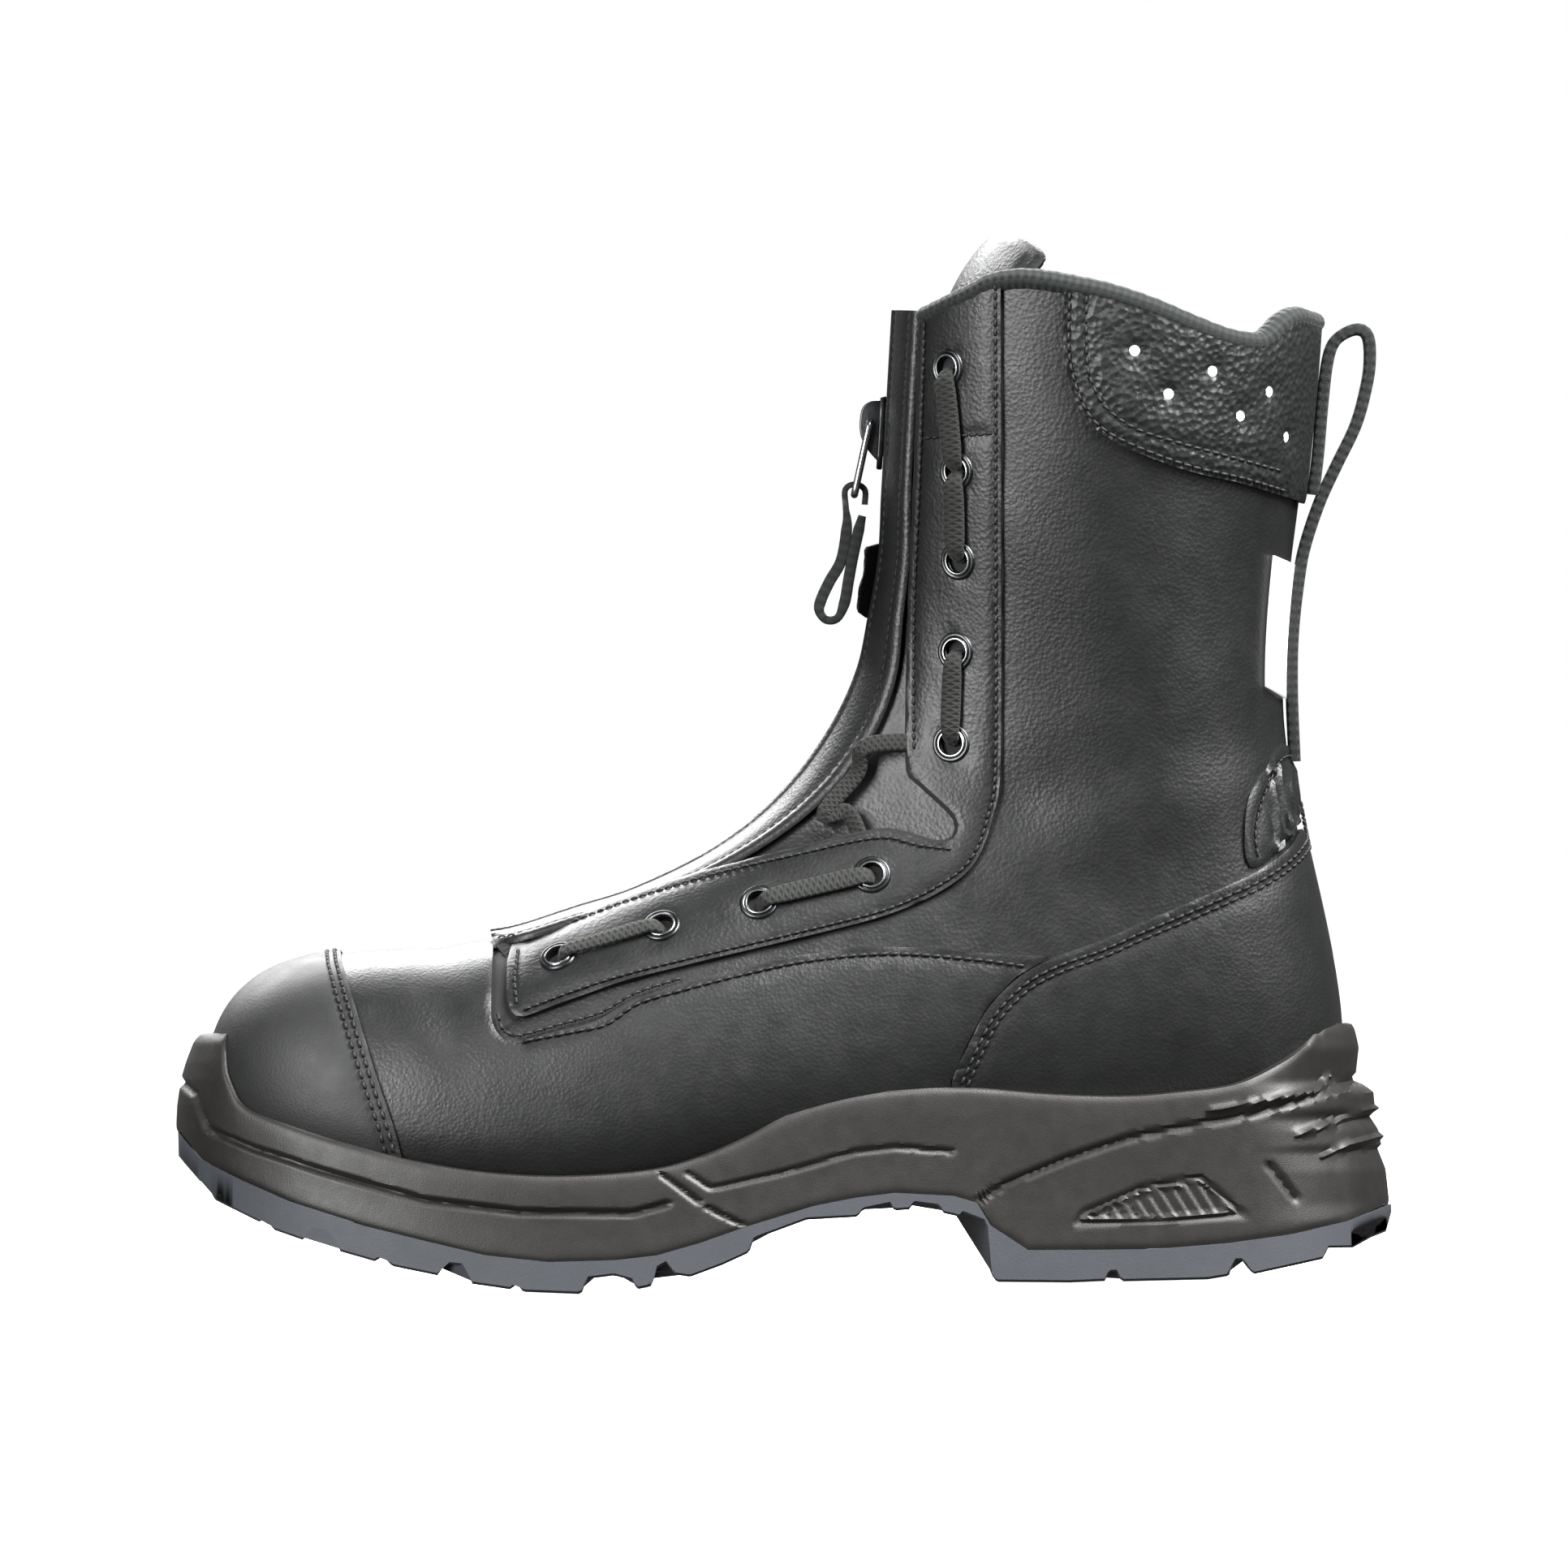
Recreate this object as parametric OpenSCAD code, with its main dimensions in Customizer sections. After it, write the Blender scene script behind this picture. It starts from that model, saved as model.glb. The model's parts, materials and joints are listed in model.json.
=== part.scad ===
// Lace-in zipper station boot, left foot. Toe toward -X, outer side toward -Y, soles stand on Z = 0.

/* [Leather] */
// Thickness of the body leather
leather_t = 1.8; // [1.4:0.1:2.2]
// Thickness of the toe cap leather
cap_t = 1.4; // [1:0.1:1.6]
// Thickness of the inner sock
lining_t = 1.7; // [1.2:0.1:2]
// Thickness of the padded tongue
tongue_t = 4.4; // [3:0.2:5]

/* [Lacing] */
// Outer radius of an eyelet
eyelet_r = 5; // [4.4:0.1:5.4]
// Radius of the hole through an eyelet
eyelet_bore_r = 2.9; // [2.6:0.1:3.1]
// Radius of the rolled-up lace
lace_r = 1.4; // [1:0.1:1.6]

/* [Zipper] */
// Pitch of the zipper teeth along one row
tooth_pitch = 3.2; // [2.8:0.1:3.6]
// Width of the slider
slider_w = 11; // [10:0.5:12]
// Length of the slider
slider_len = 19; // [17:0.5:20]
// Width of the leather pull tab
tab_w = 12; // [9:0.5:12.5]

/* [Soles] */
// Depth of the tread grooves
lug_depth = 4.5; // [3:0.5:5]
// Thickness of the footbed at its middle
footbed_t = 8; // [6:0.5:9]

/* [Back] */
// Width of the pull strap
strap_w = 16; // [14:1:20]
// Thickness of the pull strap
strap_t = 2; // [1.6:0.1:2.2]
// Width of the reflective strip under the pull strap
strip_w = 40; // [30:1:44]

/* [Hidden] */
OUTER = -1;
INNER = 1;
gap = 0.1;
reach = 90;
through = 12;
vent_r = 1.5;

// Cross-sections of the last, from toe to collar. Each row holds the front point x, z, the back
// point x, z, the half width, the side shift, where the section is widest as a share of its
// length, and how boxy its front and back halves are.
sections = [
    [-145.5, 57, -145, 50.5, 8, 4, 0.55, 0.7, 0.7],
    [-143.8, 66, -143, 46, 19, 4, 0.58, 0.7, 0.6],
    [-140, 74.3, -139, 40, 28.5, 4, 0.6, 0.7, 0.55],
    [-132.5, 81.3, -131.5, 34.5, 36.5, 3.5, 0.62, 0.72, 0.5],
    [-120, 85.5, -120, 28.5, 43, 2.5, 0.64, 0.74, 0.5],
    [-103, 87, -103, 24, 46.5, 1.5, 0.66, 0.76, 0.5],
    [-85, 86.8, -82, 20.5, 48.5, 0.5, 0.68, 0.78, 0.5],
    [-66, 90.5, -58, 19, 49, -0.5, 0.68, 0.78, 0.5],
    [-44, 100.5, -30, 21, 48, -2.5, 0.66, 0.78, 0.5],
    [-20, 109.5, 4, 28, 43.5, -3.5, 0.64, 0.8, 0.55],
    [0, 121.5, 45, 33.5, 39, -3, 0.62, 0.8, 0.6],
    [10.5, 134, 95, 32, 37, -2, 0.58, 0.8, 0.65],
    [17.5, 147, 130, 37, 36.5, -1, 0.54, 0.8, 0.7],
    [22, 159.5, 142.5, 50, 36.5, 0, 0.52, 0.8, 0.75],
    [25.5, 171, 142.5, 72, 37, 0, 0.5, 0.8, 0.8],
    [28, 184, 137, 100, 38, 0, 0.5, 0.8, 0.85],
    [29.5, 198, 131.2, 128, 40, 0, 0.5, 0.8, 0.85],
    [30.8, 213, 130.8, 156, 42.5, 0, 0.5, 0.8, 0.85],
    [32, 228, 134, 184, 45, 0, 0.5, 0.8, 0.85],
    [33.2, 243, 138, 212, 47, 0, 0.5, 0.8, 0.85],
    [34.3, 257, 141, 240, 48.5, 0, 0.5, 0.8, 0.85],
    [35, 272, 142.5, 262, 49.5, 0, 0.5, 0.8, 0.85]
];
last_row = len(sections) - 1;
shell_rows = 34;
toe_rows = 11;
toe_end = last_row * toe_rows / shell_rows;

// Edges of the panels, seen from the side, as [x, z]
collar_line = [[40.3, 250.6], [47, 253.6], [53.6, 256.5], [58, 258.7], [64.9, 259.6], [72.2, 258.8],
               [79.7, 257.2], [87.2, 255.4], [98.2, 251.6], [109.3, 246.7], [118.2, 243.2],
               [125.5, 242], [128.6, 243.4], [132.5, 247.1], [136.1, 248.5], [139.5, 247.5]];
rim_line = [[-146.3, 72.7], [-147.5, 66], [-145.8, 58.5], [-141.5, 52], [-136.7, 47.9],
            [-122, 42.3], [-107, 37.8], [-94, 34.4], [-76, 31.3], [-56, 30], [-35, 31],
            [-22, 33.9], [-9.6, 38.8], [3, 44.8], [18, 48.7], [33, 50], [49, 50], [70, 48], [87, 47.2], [101, 47.9], [116, 49.6],
            [129, 54.6], [137, 58.6], [146.4, 64.2]];
heel_back = [[147.8, 58.3], [146.9, 50], [151.4, 46.5], [151.5, 42.5], [150.2, 40.2], [152.8, 35],
             [152, 32], [154, 27], [155, 18]];
toe_front = [[-155.9, 47.2], [-154.4, 56.6], [-151, 66]];
split_line = [[-155.5, 43.3], [-149.6, 36.1], [-138, 30.2], [-126, 24.7], [-108, 18.7], [-92, 14.4],
              [-77, 10.5], [-61, 8.4], [-44, 8.5], [-33, 9.5], [-22, 12.4], [-10, 16.3], [7, 21.1],
              [18, 23], [28, 24], [43, 22.9], [49, 21], [52.5, 15], [62, 8.5], [96, 8.1],
              [112, 9], [128, 10.8], [144, 14], [155, 17.7]];
tread_line = [[-155.8, 37.5], [-147, 27], [-134, 19.3], [-115, 11.5], [-97, 6], [-80, 2], [-69, 0],
              [-46, 0], [-35, 1.2], [-24, 4], [-9, 10], [5, 15.5], [18, 17.6], [30, 19.5],
              [44, 17.5], [52, 15.8], [52.6, 0], [108, 0], [120, 1.2], [138, 4.6], [150, 9.4],
              [155.6, 14]];
groove_x = [-146, -131, -117, -102, -86, -73, -47.5, -32, -12, 84, 116, 139];
seam_counter = [[43.1, 34], [43.1, 52.5], [47.5, 61.4], [52.7, 70.4], [61, 78.4], [70.3, 83.2],
                [81.8, 87.1], [91.7, 91.3], [104.4, 96.4], [114.5, 100.6], [122, 104],
                [130.1, 109.8], [135.5, 118.7], [160, 119]];
facing_edge = [[40.3, 247], [38, 209], [35.5, 171.4], [34.2, 134.3], [39.1, 126.6], [46.2, 120],
               [46.5, 115], [42.1, 112.2], [35.5, 114.4], [28.8, 116.6], [20.7, 115.6],
               [7.5, 112.5], [-5.9, 109.5], [-37.4, 101.2], [-54.3, 94.9], [-68.2, 88.5]];
facing_back = [[-69, 75], [-67, 70.5], [-52.4, 75], [-37.9, 79.8], [-12.9, 85.5], [11.8, 91],
               [28.4, 95.4], [41, 101], [49.3, 107.5], [54.8, 119.8], [57.4, 135.4], [59, 196],
               [60.5, 255.8]];
quarter_front = [[-78, 66], [-60, 76], [-38, 84.5], [-12, 90.5], [12, 96], [27, 100.5],
                 [38, 106], [45, 112.5], [49.5, 122], [51.5, 136], [53, 196], [54.5, 252.5]];
vamp_top = [[-70.3, 120], [-70.3, 69], [-66, 65.5], [-46, 69.5], [-38, 74.9], [-25.6, 78.2],
            [-9, 82], [7.5, 84.9], [28.2, 86.6], [48.8, 84.9], [68.5, 83.2]];
collar_edge = [[76.5, 255], [76, 241], [77, 232], [80.4, 222], [86.3, 216], [97.3, 210.5],
               [108.4, 206.5], [119.4, 203.8], [150, 198.5]];
collar_holes = [[93.9, 237.9], [113.4, 232.3], [102.2, 226.7], [129.9, 226.5], [120.2, 220.8],
                [133, 215.3]];
cap_seam = [[-113.2, 100], [-113.2, 89.5], [-109, 74.4], [-103.1, 55.5], [-98.2, 40.8],
            [-95, 20]];
eyelet_at = [[47.1, 234.6], [48.5, 208.5], [48.3, 185.3], [47.2, 162], [45.6, 138.5],
             [24, 104.9], [-4.9, 98.2], [-29.9, 92.3], [-56.3, 84.6]];
loop_route = [[139.5, 200.5], [140.3, 206], [141.1, 212], [142.4, 224], [143.9, 234],
              [145.7, 239.3], [149.2, 242], [152.6, 242.6], [154.6, 240.5],
              [154.9, 235], [154, 228.6], [151, 218.3], [145.6, 207.6], [141.2, 198.5],
              [137.4, 188], [135.6, 180], [133.6, 165], [133, 150], [133.3, 132]];
// Middle line of the zipper: straight from the collar to the ankle, then curved over the instep
zip_top = [34, 250];
zip_bend = [29, 187];
zip_line = [zip_top, [32.75, 234.25], [31.5, 218.5], [30.25, 202.75], zip_bend, [25.8, 171],
            [22.5, 158], [16, 144.5], [6.5, 131], [-5, 119.5], [-19, 110], [-37, 101.8],
            [-52, 97.3], [-66, 93], [-74, 91.4]];
// Middle line of the tongue as [x, z, half width, how far its edges are set back]
tongue_rows = [[-60, 81, 18, 2], [-42, 90, 22, 4], [-20, 100, 25, 6], [-4, 109, 28, 9],
               [5, 114, 29, 10], [12.5, 124, 30, 11], [19.5, 138, 30.5, 12], [27.5, 154, 31, 12],
               [33.5, 172, 32, 13], [38.5, 200, 33, 14],
               [41.5, 230, 34, 15], [44.5, 248, 34, 15], [50, 259, 32, 14], [58, 266, 28, 12],
               [66.5, 269.5, 20, 8]];
// Side outline of the sole as [x, outer y, inner y]
plan = [[-156, -2, 8], [-153.5, -13, 19], [-148, -24, 29], [-138, -34.5, 38], [-122, -44.5, 47],
        [-100, -51, 52.8], [-78, -54.4, 55.4], [-56, -55.4, 54.5], [-34, -54, 50.5], [-10, -50.5, 44.5],
        [15, -47, 40], [45, -44, 38.5], [80, -42.5, 40], [110, -40.5, 39.5], [130, -36, 36],
        [144, -27, 27], [152.5, -15, 15], [156, -4, 4]];

// Catmull-Rom value of a table of rows at u
function row_at(table, u) =
    let (n = len(table), i = min(max(floor(u), 0), n - 2), f = u - i,
         p0 = table[max(i - 1, 0)], p1 = table[i], p2 = table[i + 1], p3 = table[min(i + 2, n - 1)])
    0.5 * (2 * p1 + (p2 - p0) * f + (2 * p0 - 5 * p1 + 4 * p2 - p3) * f * f
           + (3 * p1 - p0 - 3 * p2 + p3) * f * f * f);

function signed_power(s, p) = sign(s) * pow(abs(s), p);

// Point of the last at row u and angle v, where v is 0 at the front and 180 at the back
function last_point(u, v) =
    let (s = row_at(sections, u), c = cos(v), m = s[6],
         along = c > 0 ? m * (1 - c) : m - (1 - m) * c,
         across = signed_power(sin(v), c > 0 ? s[7] : s[8]))
    [s[0] + (s[2] - s[0]) * along, s[5] + s[4] * across, s[1] + (s[3] - s[1]) * along];

function unit(v) = v / max(norm(v), 0.000001);

function last_normal(u, v) =
    let (du = 0.08, dv = 3, lo = max(u - du, 0), hi = min(u + du, last_row))
    unit(cross(last_point(hi, v) - last_point(lo, v),
               last_point(u, v + dv) - last_point(u, v - dv)));

function skin_point(u, v, off) = last_point(u, v) + off * last_normal(u, v);

// Row whose section plane passes through the point [x, z], by halving
function side_of(u, p) =
    let (s = row_at(sections, u))
    (s[2] - s[0]) * (p[1] - s[1]) - (s[3] - s[1]) * (p[0] - s[0]);
function row_through(p, lo, hi, n) =
    let (mid = (lo + hi) / 2)
    n == 0 ? mid
        : side_of(mid, p) > 0 ? row_through(p, mid, hi, n - 1) : row_through(p, lo, mid, n - 1);
function uv_at(p, side) =
    let (u = row_through(p, 0.5, last_row, 22), s = row_at(sections, u),
         d = [s[2] - s[0], s[3] - s[1]],
         a = min(max((p - [s[0], s[1]]) * d / (d * d), 0.002), 0.998), m = s[6])
    [u, side * (a < m ? acos(1 - a / m) : acos((m - a) / (1 - m)))];
function on_skin(p, side, off) = let (w = uv_at(p, side)) skin_point(w[0], w[1], off);
function skin_normal(p, side) = let (w = uv_at(p, side)) last_normal(w[0], w[1]);

// Closed solid through rings of equal point counts, with fan-free flat ends
function ring_faces(rings, n) = [
    for (i = [0:rings - 2]) for (j = [0:n - 1])
        let (a = i * n + j, b = i * n + (j + 1) % n, c = a + n, d = b + n)
        each [[a, b, d], [a, d, c]]];
module ring_solid(rings) {
    n = len(rings[0]);
    k = len(rings);
    polyhedron(points = [for (r = rings) each r],
               faces = concat(ring_faces(k, n), [[for (j = [n - 1:-1:0]) j]],
                              [[for (j = [0:n - 1]) (k - 1) * n + j]]));
}

// The last grown by off, as one solid from the toe to its section row end
module last_body(off, rows = shell_rows, around = 32, end = last_row) {
    ring_solid([for (i = [0:rows]) let (u = end * i / rows)
        [for (j = [0:around - 1]) skin_point(u, j * 360 / around, off)]]);
}

module last_shell(inner, outer, rows = shell_rows, around = 32, end = last_row) {
    difference() {
        last_body(outer, rows, around, end);
        last_body(inner, rows, around, end);
    }
}

// Prism along Y with the side outline points, on one side of the boot or on both
module side_prism(points, side = 0) {
    y0 = side == INNER ? 0 : -reach;
    y1 = side == OUTER ? 0 : reach;
    translate([0, y1, 0]) rotate([90, 0, 0]) linear_extrude(y1 - y0) polygon(points);
}

// Solid with its inner cuts evaluated at once as one mesh
module merged() {
    resize([0, 0, 0]) union() children();
}

function dropped(points, by) = [for (p = points) p - [0, by]];
function reversed(list) = [for (i = [len(list) - 1:-1:0]) list[i]];
function ahead(points, x) = [for (p = points) if (p[0] < x) p];
function behind(points, x) = [for (p = points) if (p[0] > x) p];
edge_drop = 3.2;
lasting_margin = 8;
top_edge = dropped(collar_line, edge_drop);
low_edge = dropped([for (i = [4:len(rim_line) - 2]) rim_line[i]], lasting_margin);
back_top = [[155, 246 - edge_drop], [160, 50]];

// Round bar swept along 3-D points, with its section carried along without twist
function bar_sides(points, i, up) =
    i == len(points) ? [] :
    let (t = unit(points[min(i + 1, len(points) - 1)] - points[max(i - 1, 0)]),
         a = unit(up - (up * t) * t))
    concat([[a, cross(t, a)]], bar_sides(points, i + 1, a));
module bar(points, r, up, sides = 8) {
    axes = bar_sides(points, 0, up);
    ring_solid([for (i = [0:len(points) - 1]) [for (j = [0:sides - 1])
        points[i] + r * (cos(-j * 360 / sides) * axes[i][0] + sin(-j * 360 / sides) * axes[i][1])]]);
}

// ---- soles ----
function outline_plan(inset) = concat([for (p = plan) [p[0], p[1] + inset]],
                                      [for (p = reversed(plan)) [p[0], p[2] - inset]]);

module outsole() {
    color("#3a3e45") difference() {
        intersection() {
            translate([0, 0, -1]) linear_extrude(80) polygon(outline_plan(0.6));
            side_prism(concat(split_line, reversed(tread_line)));
        }
        for (x = groove_x) tread_groove(x);
    }
}

module tread_groove(x) {
    i = [for (k = [0:len(tread_line) - 2]) if (tread_line[k][0] <= x && tread_line[k + 1][0] > x) k][0];
    a = tread_line[i];
    b = tread_line[i + 1];
    z = a[1] + (b[1] - a[1]) * (x - a[0]) / (b[0] - a[0]);
    translate([x, 0, z]) rotate([0, -atan2(b[1] - a[1], b[0] - a[0]), 0])
        cube([4, 2 * reach, 2 * lug_depth], center = true);
}

module midsole() {
    color("#2b2725") merged() difference() {
        intersection() {
            linear_extrude(90) polygon(outline_plan(0));
            side_prism(concat(split_line, [[156, 18]], reversed(heel_back), reversed(rim_line),
                              reversed(toe_front)));
        }
        last_body(leather_t + cap_t + 2 * gap + 0.2, 30, 32);
    }
}

module shank() {
    color("silver") merged() intersection() {
        last_shell(2.1, 3.2);
        translate([-12, -10, 0]) cube([100, 16, 45]);
    }
}

sole_bed = [for (i = [2:12]) [sections[i][2], sections[i][3]]];
module insole_board() {
    color("tan") merged() intersection() {
        last_shell(-1.9, 2);
        side_prism(concat([[-160, 40]], dropped(low_edge, 0.5), [[150, 50], [150, 0], [-160, 0]]));
    }
}

module footbed() {
    color("dimgray") merged() intersection() {
        last_body(-2 - leather_t - lining_t - 2, 24, 24);
        side_prism(concat(dropped(sole_bed, -footbed_t - 6.6), [[131, 0], [-150, 0]]));
    }
}

// ---- upper ----
module vamp() {
    color("#1c1d1e") merged() intersection() {
        last_shell(0, leather_t);
        side_prism(concat([[-160, 120]], vamp_top, [[60.3, 79], [52.1, 71], [47, 61.7], [42.6, 52.7],
                          [42.6, 41.8]], reversed(ahead(low_edge, 42)), [[-160, 45]]));
    }
}

module toe_cap() {
    color("#252728") merged() intersection() {
        last_shell(leather_t + gap, leather_t + gap + cap_t, toe_rows, 32, toe_end);
        side_prism(concat([[-160, 100]], cap_seam, [[-100, 28], [-160, 46]]));
        side_prism(concat([[-160, 100], [-90, 100], [-90, 26]], reversed(ahead(low_edge, -95)),
                          [[-160, 48]]));
    }
}

module safety_toe() {
    color("silver") merged() intersection() {
        last_shell(-2.2, -gap, toe_rows, 32, toe_end);
        side_prism([[-160, 100], [-104, 100], [-100, 28], [-136, 40], [-160, 48]]);
    }
}

quarter_side = concat(quarter_front, behind(top_edge, 56), back_top, [[147, 54]],
                      reversed(behind(low_edge, -78)));
module quarter_outer() color("#202122") half_quarter(OUTER);
module quarter_inner() color("#202122") half_quarter(INNER);
module half_quarter(side) {
    merged() intersection() {
        last_shell(-leather_t, -gap);
        side_prism(quarter_side, side);
        translate([-200, side == OUTER ? -reach : gap, 0]) cube([400, reach - gap, 300]);
    }
}

module heel_counter() {
    color("#1c1d1e") merged() intersection() {
        last_shell(0, leather_t);
        side_prism(concat(seam_counter, [[160, 50], [147, 54]],
                          reversed(behind(low_edge, 45)), [[43.1, 42]]));
    }
}

module heel_stiffener() {
    color("dimgray") merged() intersection() {
        last_shell(-leather_t - 2, -leather_t - 0.2);
        side_prism([[72, 44], [76, 70], [98, 88], [124, 98], [160, 104], [160, 54], [128, 47]]);
    }
}

module facing(side) {
    merged() difference() {
        intersection() {
            last_shell(gap, leather_t - gap);
            side_prism(concat(facing_edge, facing_back, reversed(ahead(top_edge, 60))), side);
        }
        for (p = eyelet_at) on_panel(p, side)
            cylinder(r = eyelet_bore_r + 0.9, h = through, center = true, $fn = 16);
    }
}
module facing_outer() color("#232425") facing(OUTER);
module facing_inner() color("#232425") facing(INNER);

// Places a child on the skin at [x, z], with its own Z along the outward normal
module on_panel(p, side) {
    n = skin_normal(p, side);
    translate(on_skin(p, side, 0))
        rotate([0, acos(n[2]), atan2(n[1], n[0])]) children();
}

module eyelet() {
    rotate_extrude($fn = 32) polygon([
        [eyelet_bore_r, -1.6], [eyelet_r - 1, -1.6], [eyelet_r - 1, -0.5],
        [eyelet_bore_r + 0.6, -0.5], [eyelet_bore_r + 0.6, leather_t + 0.1],
        [eyelet_r, leather_t + 0.1], [eyelet_r - 0.6, leather_t + 0.9],
        [eyelet_bore_r + 0.4, leather_t + 0.9], [eyelet_bore_r, leather_t + 0.4]]);
}
module eyelets_outer() color("#4c4f52") for (p = eyelet_at) on_panel(p, OUTER) eyelet();
module eyelets_inner() color("#4c4f52") for (p = eyelet_at) on_panel(p, INNER) eyelet();

beside_strap = strap_w / 2 + 1.5;
module collar(side) {
    merged() difference() {
        intersection() {
            last_shell(gap, leather_t);
            side_prism(concat(reversed(collar_edge), behind(top_edge, 77), [[155, 240]]), side);
            translate([0, side == OUTER ? -reach : beside_strap, 0])
                cube([400, reach - beside_strap, 300]);
        }
        for (p = collar_holes) on_panel(p, side)
            cylinder(r = vent_r, h = through, center = true, $fn = 12);
    }
}
module collar_outer() color("#26282a") collar(OUTER);
module collar_inner() color("#26282a") collar(INNER);

module collar_foam() {
    color("khaki") merged() intersection() {
        last_shell(-4.2, -leather_t - 0.2);
        side_prism(concat([for (p = reversed(collar_edge)) [p[0], min(p[1] + 3, 253.8)]],
                          behind(top_edge, 77), [[160, 240]]));
    }
}

module top_binding() {
    points = concat([for (p = collar_line) on_skin(p, OUTER, -1.5)],
                    [for (p = reversed(collar_line)) on_skin(p, INNER, -1.5)]);
    color("#1d2420") bar(points, 2.4, [0, 0, 1]);
}

module achilles_panel() {
    color("#1a1b1c") merged() intersection() {
        last_shell(gap, 1.3, 34, 36);
        side_prism([[160, 137], [129.2, 137], [125.1, 130.2], [120.8, 123.6], [119.4, 116.3],
                    [120.5, 105.6], [122.2, 104.9], [129.8, 110.9], [134.8, 120.2], [160, 120.5]]);
        translate([100, -reach, 131.5 - 20]) cube([60, 2 * reach, 20]);
    }
}

module reflective_strip() {
    color("white") merged() intersection() {
        last_shell(gap, 0.7, 34, 48);
        translate([110, -strip_w / 2, 148]) cube([50, strip_w, 36]);
    }
}

module pull_loop() {
    k = len(loop_route);
    rings = [for (i = [0:k - 1])
        let (t = unit(loop_route[min(i + 1, k - 1)] - loop_route[max(i - 1, 0)]),
             n = [t[1], -t[0]] * strap_t / 2, a = loop_route[i] + n, b = loop_route[i] - n,
             h = strap_w / 2)
        [[a[0], -h, a[1]], [a[0], h, a[1]], [b[0], h, b[1]], [b[0], -h, b[1]]]];
    color("#181a1a") ring_solid(rings);
}

module lining() {
    color("#55585a") merged() intersection() {
        last_shell(-6.2, -6.2 + lining_t, 24, 24);
        side_prism(concat([[-160, 120], [-64, 120], [-64, 84], [-38, 88], [-12, 93], [12, 98],
                           [27, 102], [38, 108], [45, 114], [50, 123], [52.5, 136], [54, 196], [56, 254.5]],
                          behind(top_edge, 57), back_top, [[160, 0], [-160, 0]]));
    }
}

// Pad that follows rows of [x, z, half width, set-back of its edges]
module pad(rows, top_off, thick, across = 8) {
    k = len(rows);
    function dir(i) = unit([rows[min(i + 1, k - 1)][0] - rows[max(i - 1, 0)][0],
                            rows[min(i + 1, k - 1)][1] - rows[max(i - 1, 0)][1]]);
    function at(i, f, off) =
        let (d = dir(i), n = [-d[1], d[0]], drop = off - rows[i][3] * f * f)
        [rows[i][0] + n[0] * drop, rows[i][2] * f, rows[i][1] + n[1] * drop];
    rings = [for (i = [0:k - 1]) concat(
        [for (j = [0:across]) at(i, 2 * j / across - 1, top_off)],
        [for (j = [across:-1:0]) at(i, 2 * j / across - 1, top_off - thick)])];
    ring_solid([for (r = rings) reversed(r)]);
}
module tongue() {
    color("#1d1f20") merged() intersection() {
        pad(tongue_rows, 0, tongue_t);
        last_body(-6.9);
    }
}

// ---- zipper insert ----
// Point of the insert at row u of the zipper line, y across, off above the leather's underside
// The insert is bowed most where it bends over the ankle
bow_base = 0.012;
bow_ankle = 0.01;
ankle_row = 7;
function bow(u) = bow_base + bow_ankle * exp(-pow((u - ankle_row) / 2.2, 2)) - 0.0007 * max(u - 4, 0);
function zip_at(u, y, off) =
    let (p = row_at(zip_line, u), q = row_at(zip_line, u + 0.02), d = unit(q - p), n = [d[1], -d[0]],
         drop = off - bow(u) * y * y)
    [p[0] + n[0] * drop, y, p[1] + n[1] * drop];
zip_rows = len(zip_line) - 1;

module zip_band(side, y0, y1, low, high, rows = 26, across = 3, u0 = 0, u1 = zip_rows - 0.03) {
    rings = [for (i = [0:rows]) let (u = u0 + (u1 - u0) * i / rows) concat(
        [for (j = [0:across]) zip_at(u, y0 + (y1 - y0) * j / across, low)],
        [for (j = [across:-1:0]) zip_at(u, y0 + (y1 - y0) * j / across, high)])];
    mirror([0, side == OUTER ? 1 : 0, 0]) ring_solid(rings);
}
module zip_panel(side) {
    merged() difference() {
        zip_band(side, 7, 23, 0, 2);
        side_prism(concat([for (p = facing_edge) p + [-0.2, 0.2]], [[-69, 60], [70, 60], [70, 252]]));
    }
}
module zip_panel_outer() color("#1b1c1d") zip_panel(OUTER);
module zip_panel_inner() color("#1b1c1d") zip_panel(INNER);
module zip_tape(side) zip_band(side, 3.2, 10.5, -1.1, -0.3, 26, 1, 0, zip_rows - 0.6);
module zip_tape_outer() color("#111111") zip_tape(OUTER);
module zip_tape_inner() color("#111111") zip_tape(INNER);

// Length of the zipper from its top to row u, and the row at a given length
function zip_length(u, steps = 60) =
    let (p = [for (i = [0:steps]) row_at(zip_line, u * i / steps)])
    [for (i = 0, s = 0; i <= steps; s = s + (i < steps ? norm(p[i + 1] - p[i]) : 0), i = i + 1)
        s][steps];
zip_total = zip_length(zip_rows);
function row_at_length(s, lo = 0, hi = zip_rows, n = 14) =
    let (mid = (lo + hi) / 2)
    n == 0 ? mid
        : zip_length(mid) < s ? row_at_length(s, mid, hi, n - 1) : row_at_length(s, lo, mid, n - 1);

first_tooth = 22.6;
tooth_count = floor((zip_total - first_tooth - 6) / tooth_pitch);
module zip_teeth(side, shift) {
    for (i = [0:tooth_count - 1]) {
        u = row_at_length(first_tooth + (i + shift) * tooth_pitch);
        p = zip_at(u, 0, 0);
        q = zip_at(u + 0.02, 0, 0);
        translate([p[0], side * 1.95, p[2]]) rotate([0, atan2(p[0] - q[0], p[2] - q[2]), 0])
            cube([2.4, 2, 1.3], center = true);
    }
}
module zip_teeth_outer() color("#2c2e30") zip_teeth(OUTER, 0);
module zip_teeth_inner() color("#2c2e30") zip_teeth(INNER, 0.5);

zip_lean = atan2(zip_top[0] - zip_bend[0], zip_top[1] - zip_bend[1]);
slider_mid = 31.5;
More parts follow.
